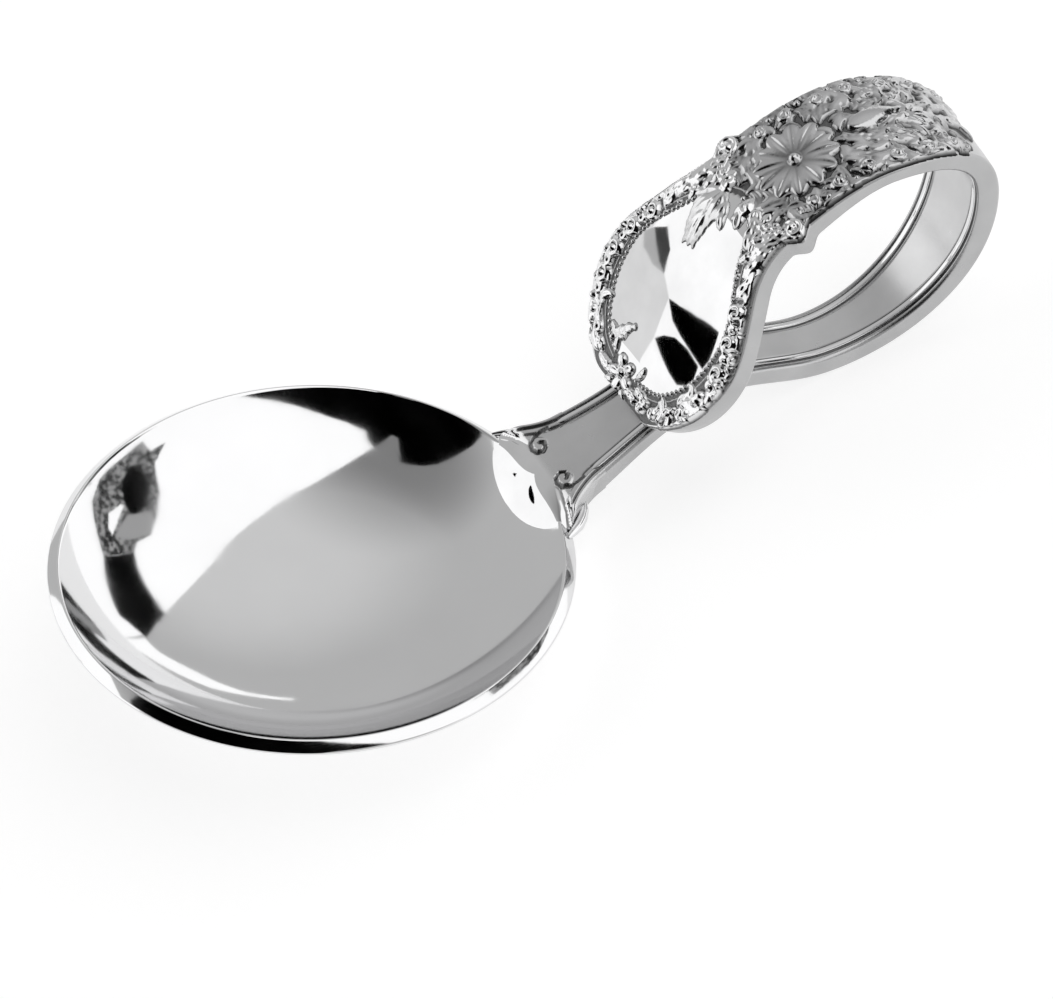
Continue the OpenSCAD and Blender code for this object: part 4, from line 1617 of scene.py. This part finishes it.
    def filler(self, start: float, end: float, low: float, high: float, step: float, seed: int) -> list[Stroke]:
        """Curling leaves that crowd the ground between the larger forms.

        Args:
            start: First distance from the tip.
            end: Last distance from the tip.
            low: Least distance from the outline.
            high: Greatest distance from the outline.
            step: How far apart they stand.
            seed: Seed of their shifts and turns.

        Returns:
            The strokes.
        """
        picks = np.random.default_rng(seed)
        s: list[Stroke] = []
        for d in np.arange(start, end, step):
            for inset in np.arange(low, high, step):
                for side in (-1, 1):
                    at = float(d + picks.uniform(-0.3, 0.3) * step)
                    p = self.border(at, side, float(inset + picks.uniform(-0.3, 0.3) * step))
                    turn = picks.uniform(-70, 70)
                    bend = picks.choice((-1, 1)) * picks.uniform(50, 130)
                    size = picks.uniform(0.8, 1.2)
                    taken = (p[1] * side < -0.2 or self.inside_egg(p[:1], p[1:] - self.mirror_clear * side)[0]
                             or math.hypot(*(p - self.rosette)) < self.rosette_clear
                             or math.hypot(*(p - self.flower)) < self.flower_clear[0])
                    if taken or not self.carved(p[0] + 0.9, p[1]):
                        continue
                    form = Form.SMOOTH if picks.uniform() < 0.35 else Form.LEAF
                    length, width = 1.75 * step * size + 0.3, 0.85 * step * size + 0.15
                    s += leaf(p, side * 50 + turn, bend, length, width, 0.2 + 0.12 * size, form, 1.3)
        return s

    def tip_group(self) -> list[Stroke]:
        """Volutes, shell and leaves round the very tip, beside the flower.

        Returns:
            The strokes.
        """
        s: list[Stroke] = []
        for side in (-1, 1):
            for d, out, angle, bend, length, width, height in (
                    (0.9, 1.2, 70, 45, 1.9, 0.95, 0.45), (0.5, 0.7, 115, 30, 1.2, 0.7, 0.4),
                    (2.4, 1.7, 45, -60, 1.4, 0.7, 0.38)):
                s += leaf((d, self.flower[1] + side * out), side * angle, side * bend, length, width, height)
        for (d, y), hand in (((0.95, -2.9), 1), ((1.6, -4.3), -1), ((2.55, -5.7), 1), ((3.5, -6.9), -1)):
            s += scroll((d, y), 0.7, 200 if hand < 0 else -30, hand * 300, 0.21, 0.48, 0.4)
            s += ball((d + 0.75, y - 0.35), 0.24, 0.4)
        s += fan((5.4, -7.7), 195, 1.9, 5, 130, 0.5) + scroll((2.5, 5.3), 0.66, 30, -300, 0.21, 0.48, 0.4)
        s += each(leaf, ((1.8, -1.5), -88, -25, 2.0, 0.9, 0.48), ((0.8, 2.3), 62, 40, 1.8, 0.95, 0.46),
                  ((1.5, 3.9), 58, 40, 1.8, 0.95, 0.46), ((3.7, 6.4), 50, 50, 1.7, 0.8, 0.44),
                  ((4.4, 8.2), 20, 30, 1.2, 0.6, 0.4))
        return s + each(ball, ((0.8, -1.9), 0.3, 0.45), ((5.9, -7.8), 0.5, 0.62), ((3.1, 6.8), 0.4, 0.52),
                        ((3.9, 7.6), 0.45, 0.56), ((2.2, 6.3), 0.25, 0.4))

    def tip_flower(self) -> list[Stroke]:
        """Small flower on the tip."""
        return blossom(self.flower, (0.4, 0.55), 5, 36, 0.3, (1.1, 1.0), (0.48, 0.48), 1.4)

    def low_spray(self) -> list[Stroke]:
        """Curled leaf that leans from the flower into the mirror."""
        s = acanthus((3.2, 3.0), -12, -45, 2.7, 1.9, 0.34, 3) + ball((3.0, 3.4), 0.35, 0.42)
        return s + each(leaf, ((3.3, 3.3), 40, 50, 1.3, 0.7, 0.36), ((3.7, 2.2), 25, -60, 1.3, 0.55, 0.34))

    def top_spray(self) -> list[Stroke]:
        """Acanthus spray that hangs from the neck into the mirror.

        Returns:
            The strokes.
        """
        s = each(scroll, ((18.5, 2.3), 0.85, 200, -330, 0.25, 0.42, 0.5),
                 ((18.3, -0.9), 0.8, 90, 300, 0.24, 0.44, 0.8))
        s += each(acanthus, ((18.2, 2.3), 186, 8, 5.0, 4.4, 0.3, 5, 0.7),
                  ((19.2, -0.6), 195, -30, 2.4, 1.9, 0.34, 3))
        s += tendril((13.7, 1.9), 178, -40, 1.0, 0.14, 0.2) + ball((18.35, -0.95), 0.36, 0.5)
        return s + each(leaf, ((17.9, 2.0), 184, 6, 4.6, 1.5, 0.34), ((17.4, 0.9), 205, 40, 2.1, 1.0, 0.32),
                        ((17.5, 3.4), 170, -40, 1.9, 0.8, 0.3), ((18.6, -0.3), 205, 20, 2.2, 1.4, 0.34),
                        ((18.8, -1.6), 215, 30, 1.8, 1.2, 0.36), ((18.3, -2.6), 230, 30, 1.3, 0.9, 0.34),
                        ((17.9, -2.5), 205, 30, 1.9, 1.0, 0.36), ((18.0, -3.5), 195, 20, 1.9, 0.9, 0.36),
                        veins=2)

    def lugs(self) -> list[Stroke]:
        """Volute and ball on each lug, with a leaf that runs from it along the neck.

        Returns:
            The strokes.
        """
        s: list[Stroke] = []
        for side in (-1, 1):
            s += scroll((19.9, side * 5.3), 1.1, side * -60, side * 330, 0.29, 0.52, 0.7)
            s += ball((20.4, side * 6.0), 0.4, 0.42)
            s += leaf((19.3, side * 4.4), side * 200, side * 55, 2.0, 0.9, 0.42)
            s += leaf((20.8, side * 4.3), side * 10, side * 50, 1.5, 0.7, 0.38)
            s += acanthus((19.4, side * 2.6), 180 - side * 24, side * 20, 2.2, 1.5, 0.42, 3)
            s += leaf((20.0, side * 1.2), 180 - side * 40, side * 50, 1.5, 0.6, 0.36)
        return s

    def daisy(self) -> list[Stroke]:
        """Rosette of twelve hollow petals round a ball."""
        return blossom(self.rosette, (0.52, 0.7), 12, 8, 0.4, (2.85, 1.66), (0.42, 0.48), 1.6)

    def loop_edges(self) -> list[Stroke]:
        """Scrolls, shells and balls along both edges of the loop.

        Returns:
            The strokes.
        """
        s: list[Stroke] = []
        for side in (-1, 1):
            for k, d in enumerate(np.arange(*self.edge_scrolls).tolist()):
                p = self.border(d, side, 1.45)
                if not self.carved(p[0] + 1.6, p[1]):
                    continue
                hand = 1 if k % 2 else -1
                s += scroll(p, 0.85, side * 60, side * hand * 320, 0.23, 0.46, 0.5)
                s += leaf(self.border(d + 0.95, side, 0.8), side * 120, -side * 60, 1.0, 0.55, 0.36)
                s += leaf(self.border(d + 1.15, side, 1.9), side * 20, side * 80, 1.35, 0.6, 0.38)
                s += ball(self.border(d + 1.2, side, 0.85), 0.3, 0.4)
        return s

    def loop_middle(self) -> list[Stroke]:
        """Oval leaf, half-open blossom and the curling leaves that fill the ground between them.

        Returns:
            The strokes.
        """
        s = leaf((28.0, 0.2), 4, 10, 3.5, 2.0, 0.5, Form.SMOOTH)
        s += leaf((27.3, -0.9), -20, -30, 2.2, 0.9, 0.42)
        for k, a in enumerate((-48, -24, 0, 24, 48)):
            s += leaf((31.7, -0.35), a, 0, 2.5 - 0.25 * abs(k - 2), 1.0, 0.6, Form.PETAL)
        s += ball((31.6, -0.35), 0.45, 0.5)
        s += each(acanthus, ((31.2, 1.5), 30, 35, 3.0, 2.0, 0.46), ((28.4, -1.9), -12, -40, 2.8, 1.6, 0.44),
                  ((29.3, 2.7), 12, 50, 2.6, 1.5, 0.42, 3), ((34.3, -0.4), -20, 60, 3.0, 1.9, 0.46),
                  ((34.4, 0.6), 35, -50, 2.8, 1.7, 0.44))
        s += each(tendril, ((26.6, 2.2), 20, -60, 3.4, 0.17, 0.34), ((30.4, -2.6), 10, 50, 3.2, 0.17, 0.34))
        return s + self.filler(19.0, 40.0, 0.55, 6.2, 0.8, self.seed)

    def build(self, finishes: Finishes) -> list[bpy.types.Object]:
        """Makes every group of relief.

        Args:
            finishes: The materials.

        Returns:
            The pieces.
        """
        plate = (
            ("mirror_beads", "bead_row", self.beads()),
            ("border_scrolls", "plate_scrolls", self.plate_border()),
            ("tip_curls", "tip_leaves", self.tip_group()),
            ("tip_daisy", "tip_flower", self.tip_flower()),
            ("curled_leaf", "low_leaf_spray", self.low_spray()),
            ("hanging_acanthus", "top_leaf_spray", self.top_spray()),
            ("lug_volutes", "lug_scrolls", self.lugs()),
        )
        loop = (
            ("rosette_petals", "rosette", self.daisy()),
            ("loop_edge_scrolls", "loop_scrolls", self.loop_edges()),
            ("loop_garden", "loop_leaves", self.loop_middle()),
        )
        return [Carving(name, node, strokes).build(finish)
                for groups, finish in ((plate, finishes.relief), (loop, finishes.garden))
                for name, node, strokes in groups]


@dataclass(frozen=True)
class Card:
    """One plain card that the metal mirrors.

    Its corners are (azimuth, elevation) in degrees, seen from the spoon. It hangs nearer to the spoon than the
    studio's reach, in metres.
    """

    name: str
    tone: Tone
    nearer: float
    corners: tuple[tuple[float, float], ...]
    mottled: bool = False

    def light(self) -> bpy.types.Material:
        """The card's own light, blotched with black if it is mottled.

        Returns:
            The material.
        """
        n = Nodes(self.name)
        level: float | Socket = self.tone.value
        if self.mottled:
            level = n.math("MULTIPLY", n.ramp(n.noise(22, 2), ((0.42, 0.06), (0.5, 0.35), (0.6, 1.0))), level)
        return n.show(n.add("ShaderNodeEmission", {"Color": (1, 1, 1, 1), "Strength": level}))

    def build(self, reach: float) -> bpy.types.Object:
        """Hangs the card as a part of a sphere.

        Args:
            reach: Distance from the spoon of the cards that hang furthest away.

        Returns:
            The card.
        """
        rim = sky(*np.array(self.corners, float).T)
        centre = rim.mean(0) / np.linalg.norm(rim.mean(0))
        side = np.cross(centre, (0.3, 0.2, 0.9))
        side /= np.linalg.norm(side)
        up = np.cross(side, centre)
        flat = np.column_stack([rim @ side, rim @ up])
        flat *= (np.arccos(np.clip(rim @ centre, -1, 1)) / np.linalg.norm(flat, axis=1))[:, None]
        shape = bmesh.new()
        shape.faces.new([shape.verts.new((x, y, 0)) for x, y in flat])
        bmesh.ops.triangulate(shape, faces=shape.faces[:])
        bmesh.ops.subdivide_edges(shape, edges=shape.edges[:], cuts=7, use_grid_fill=True)
        for v in shape.verts:
            r = max(math.hypot(v.co.x, v.co.y), 1e-9)
            out = (v.co.x * side + v.co.y * up) / r
            v.co = ((reach - self.nearer) * (math.cos(r) * centre + math.sin(r) * out)).tolist()
        mesh = bpy.data.meshes.new(self.name)
        shape.to_mesh(mesh)
        shape.free()
        mesh.materials.append(self.light())
        card = hang(self.name, mesh)
        card.visible_camera = False
        card.visible_shadow = False
        return card


@dataclass
class Studio:
    """Pale floor, plain cards that the metal mirrors, and the camera.

    Each light of the room is its azimuth and elevation, its inner and outer half angle, and its level in the
    middle and beyond.
    """

    reach: float = 1.6
    floor_half: float = 3.0
    floor_level: float = 0.85
    floor_seen: float = 0.45
    floor_glow: float = 0.72
    lens: float = 362.1118
    sensor: float = 36.0
    distance: float = 800.0
    elevation: float = 43.8307
    azimuth: float = 27.4
    aim: tuple[float, float] = (16.22958, 4.86766)
    room_light: tuple[tuple[tuple[float, float], ...], ...] = (
        ((165, 81), (4, 38), (0.26, 0.56)), ((25, 50), (8, 42), (0.18, 0.0)),
    )
    cards: tuple[Card, ...] = (
        Card("white_card", Tone.WHITE, 0.0, (
            (-55, -1), (-25, -2), (0, -2), (14, -1), (37, -1), (36, 10), (33.1, 21.7), (30.6, 28),
            (27.8, 35.7), (24.8, 43.3), (22.6, 47.2), (21, 50.8), (19.3, 55.8), (17.9, 62.5), (18.6, 69.6),
            (12.1, 80.2), (-30.4, 88.6), (-157.4, 83.4), (-137.9, 80.8), (-132.2, 77.1), (-112.4, 73.3),
            (-94.3, 67.1), (-85.1, 60.5), (-77.1, 53.6), (-68, 44), (-60, 28))),
        Card("low_streak", Tone.WHITE, 0.0, (
            (37, 8.1), (40.8, 7.6), (44.4, 9.2), (47.4, 8.7), (50.5, 7.6), (54.2, 6.7), (60, 7.2),
            (60, 6.2), (50, 4), (44, 1.5), (37, -1))),
        Card("side_card", Tone.WHITE, 0.0, (
            (113, -5), (114, 20), (117, 34), (121, 42), (128, 46.5), (140, 48), (152, 47), (165, 44),
            (176, 30), (176, -5))),
        Card("dark_corner", Tone.BLACK, -0.04, (
            (-68, 44), (-77.1, 53.6), (-85.1, 60.5), (-94.3, 67.1), (-112.4, 73.3), (-132.2, 77.1),
            (-137.9, 80.8), (-157.4, 83.4), (-164, 75.4), (-172.5, 75), (143.8, 79.3), (140.1, 76.9),
            (140.1, 72.4), (143.3, 68.2), (149.4, 62), (153.9, 54.7), (157.3, 50.1), (170, 43), (-160, 40),
            (-120, 42))),
        Card("dark_room", Tone.BLACK, 0.03, (
            (-88, 56), (-120, 60), (170, 45), (-176, 25), (-150, 8), (-112, 6), (-104, 30), (-92, 46))),
        Card("dark_side", Tone.BLACK, 0.1, (
            (12.8, 24.8), (17.5, 24), (23.6, 23.6), (29.5, 23.4), (33.1, 21.7), (34.5, 18.8), (37, 9),
            (32.8, 7.5), (30.6, 6.1), (25.7, 7.9), (19.5, 10.2), (13, 12.9))),
        Card("mottled_card", Tone.SLATE, 0.1, (
            (13, 12.9), (12.8, 24.8), (9.7, 26.8), (8.2, 32.2), (0.7, 35.3), (-9.6, 36.5), (-22.6, 33),
            (-32.7, 33.8), (-27.5, 30.1), (-30.2, 25.7), (-22.8, 21.4), (-17, 17), (-12.1, 13.7),
            (-3.8, 11.3), (1.7, 11.9)), mottled=True),
        Card("dark_oval", Tone.BLACK, 0.14, (
            (-19.9, 24.6), (-21.5, 27.9), (-17.2, 31), (-10.6, 33.2), (-4.9, 32), (-1.2, 29.2),
            (-1.4, 26.5), (-5, 24.4), (-10.7, 23), (-15.9, 23.3))),
        Card("grey_patch", Tone.SLATE, 0.14, (
            (-0.7, 25), (-2.2, 33.9), (3.2, 34.7), (7.9, 31.3), (8.5, 24.2), (6.7, 19.5))),
        Card("light_patch", Tone.WHITE, 0.14, (
            (-5, 23), (-4.3, 24.1), (2.1, 21.1), (6.4, 18.5), (4.2, 17.4), (-1.1, 18))),
        Card("pale_card", Tone.PALE, 0.07, (
            (130.1, 10.2), (133.6, 10.7), (135.8, 11), (138, 11.4), (139.2, 9.7), (139.8, 3.7),
            (136.3, 1.6), (131, 3), (128.5, 7.1), (128.5, 11))),
        Card("wide_leaf", Tone.BLACK, 0.1, (
            (138, 11.4), (139.6, 12.6), (141.9, 14.6), (144.5, 17.2), (145.2, 17.9), (145.4, 15.5),
            (145.2, 14.3), (143, 13.2), (141.4, 12.4), (139.8, 11.7))),
        Card("round_leaf", Tone.BLACK, 0.1, (
            (139.3, 9.8), (139.9, 10.7), (141, 11.8), (142.8, 13), (144.7, 13.9), (145, 13.1),
            (144.9, 12.3), (143.9, 11.2), (142.5, 10.7), (140.8, 10.2))),
        Card("thin_blade", Tone.INK, 0.1, (
            (130.2, 10.3), (131.2, 11.1), (134.1, 11.5), (135.8, 11), (134.3, 10.6), (132.4, 10.4))),
        Card("soft_blade", Tone.GREY, 0.09, (
            (130.2, 10.3), (132.4, 10.4), (135.8, 11), (134, 10), (131.7, 9.4), (130, 9.6))),
    )

    def camera(self) -> bpy.types.Object:
        """Puts the camera where the photograph was taken from.

        Returns:
            The camera.
        """
        az, el = math.radians(self.azimuth), math.radians(self.elevation)
        right = np.array([math.cos(az), -math.sin(az), 0])
        flat = np.array([math.sin(az), math.cos(az), 0])
        down = np.array([0, 0, -1.0])
        view = math.cos(el) * flat + math.sin(el) * down
        up = math.sin(el) * flat - math.cos(el) * down
        place = STANDING.place(self.aim[0] * right + self.aim[1] * up - self.distance * view)
        turn = np.column_stack([STANDING.turn(v) for v in (right, up, -view)])
        data = bpy.data.cameras.new("photo_camera")
        data.lens, data.sensor_width, data.sensor_fit = self.lens, self.sensor, "HORIZONTAL"
        data.clip_start, data.clip_end = 0.01, 20.0
        camera = hang("photo_camera", data)
        pose = Matrix(turn.tolist()).to_4x4()
        pose.translation = place.tolist()
        camera.matrix_world = pose
        bpy.context.scene.camera = camera
        return camera

    def floor(self) -> None:
        """Lays the pale floor, which keeps the spoon's soft shadow."""
        n = Nodes("pale_floor")
        ray = n.add("ShaderNodeLightPath")
        seen = n.math("MAXIMUM", ray.outputs["Is Camera Ray"], ray.outputs["Is Glossy Ray"])
        plain, part = (n.add("ShaderNodeBsdfDiffuse", {"Color": (level, level, level, 1)})
                       for level in (self.floor_level, self.floor_seen))
        glow = n.add("ShaderNodeEmission", {"Strength": self.floor_glow})
        lit = n.add("ShaderNodeAddShader", {0: part.outputs[0], 1: glow.outputs[0]})
        both = n.add("ShaderNodeMixShader", {0: seen, 1: plain.outputs[0], 2: lit.outputs[0]})
        h = self.floor_half
        mesh = bpy.data.meshes.new("pale_floor")
        mesh.from_pydata([(-h, -h, 0), (h, -h, 0), (h, h, 0), (-h, h, 0)], [], [(0, 1, 2, 3)])
        mesh.materials.append(n.show(both))
        hang("pale_floor", mesh)

    def world(self) -> None:
        """Sets the grey room, which the camera sees as white and which is darker overhead."""
        n = Nodes("grey_room", world=True)
        bpy.context.scene.world = n.owner
        place = n.add("ShaderNodeTexCoord").outputs["Generated"]
        levels = []
        for (azimuth, elevation), (near, wide), (low, high) in self.room_light:
            towards = sky(azimuth, elevation).tolist()
            dot = n.add("ShaderNodeVectorMath", {0: place, 1: towards}, operation="DOT_PRODUCT")
            edges = {1: math.cos(math.radians(wide)), 2: math.cos(math.radians(near)), 3: high, 4: low}
            edges[0] = dot.outputs["Value"]
            levels.append(n.add("ShaderNodeMapRange", edges, interpolation_type="SMOOTHSTEP").outputs[0])
        room = n.add("ShaderNodeBackground", {0: (1, 1, 1, 1), 1: n.math("ADD", *levels)})
        white = n.add("ShaderNodeBackground", {0: (1, 1, 1, 1), 1: 1.0})
        seen = n.add("ShaderNodeLightPath").outputs["Is Camera Ray"]
        mixed = n.add("ShaderNodeMixShader", {0: seen, 1: room.outputs[0], 2: white.outputs[0]})
        n.add("ShaderNodeOutputWorld", {0: mixed.outputs[0]})

    def build(self) -> None:
        """Sets up camera, floor, cards and room."""
        bpy.context.scene.view_settings.view_transform = "Standard"
        self.camera()
        self.floor()
        for card in self.cards:
            card.build(self.reach)
        self.world()


def dress_cad(finishes: Finishes) -> None:
    """Gives the two CAD nodes that still show, both of solder, their finish.

    Args:
        finishes: The materials.
    """
    for name in ("rim_solder", "tip_solder"):
        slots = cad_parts[name].data.materials
        slots.clear()
        slots.append(finishes.solder)


def main() -> None:
    """Builds the spoon and its studio."""
    logging.basicConfig(level=logging.INFO, format="%(message)s")
    finishes = Finishes()
    plate = FacePlate()
    pieces = [Bowl().build(finishes), Shoulder().build(finishes), *Handle().build(finishes, plate),
              Ears().build(finishes), *plate.build(finishes)]
    for piece in pieces:
        LOG.info("%s: %d faces", piece.name, len(piece.data.polygons))
    dress_cad(finishes)
    Studio().build()


if __name__ == "__main__":
    main()
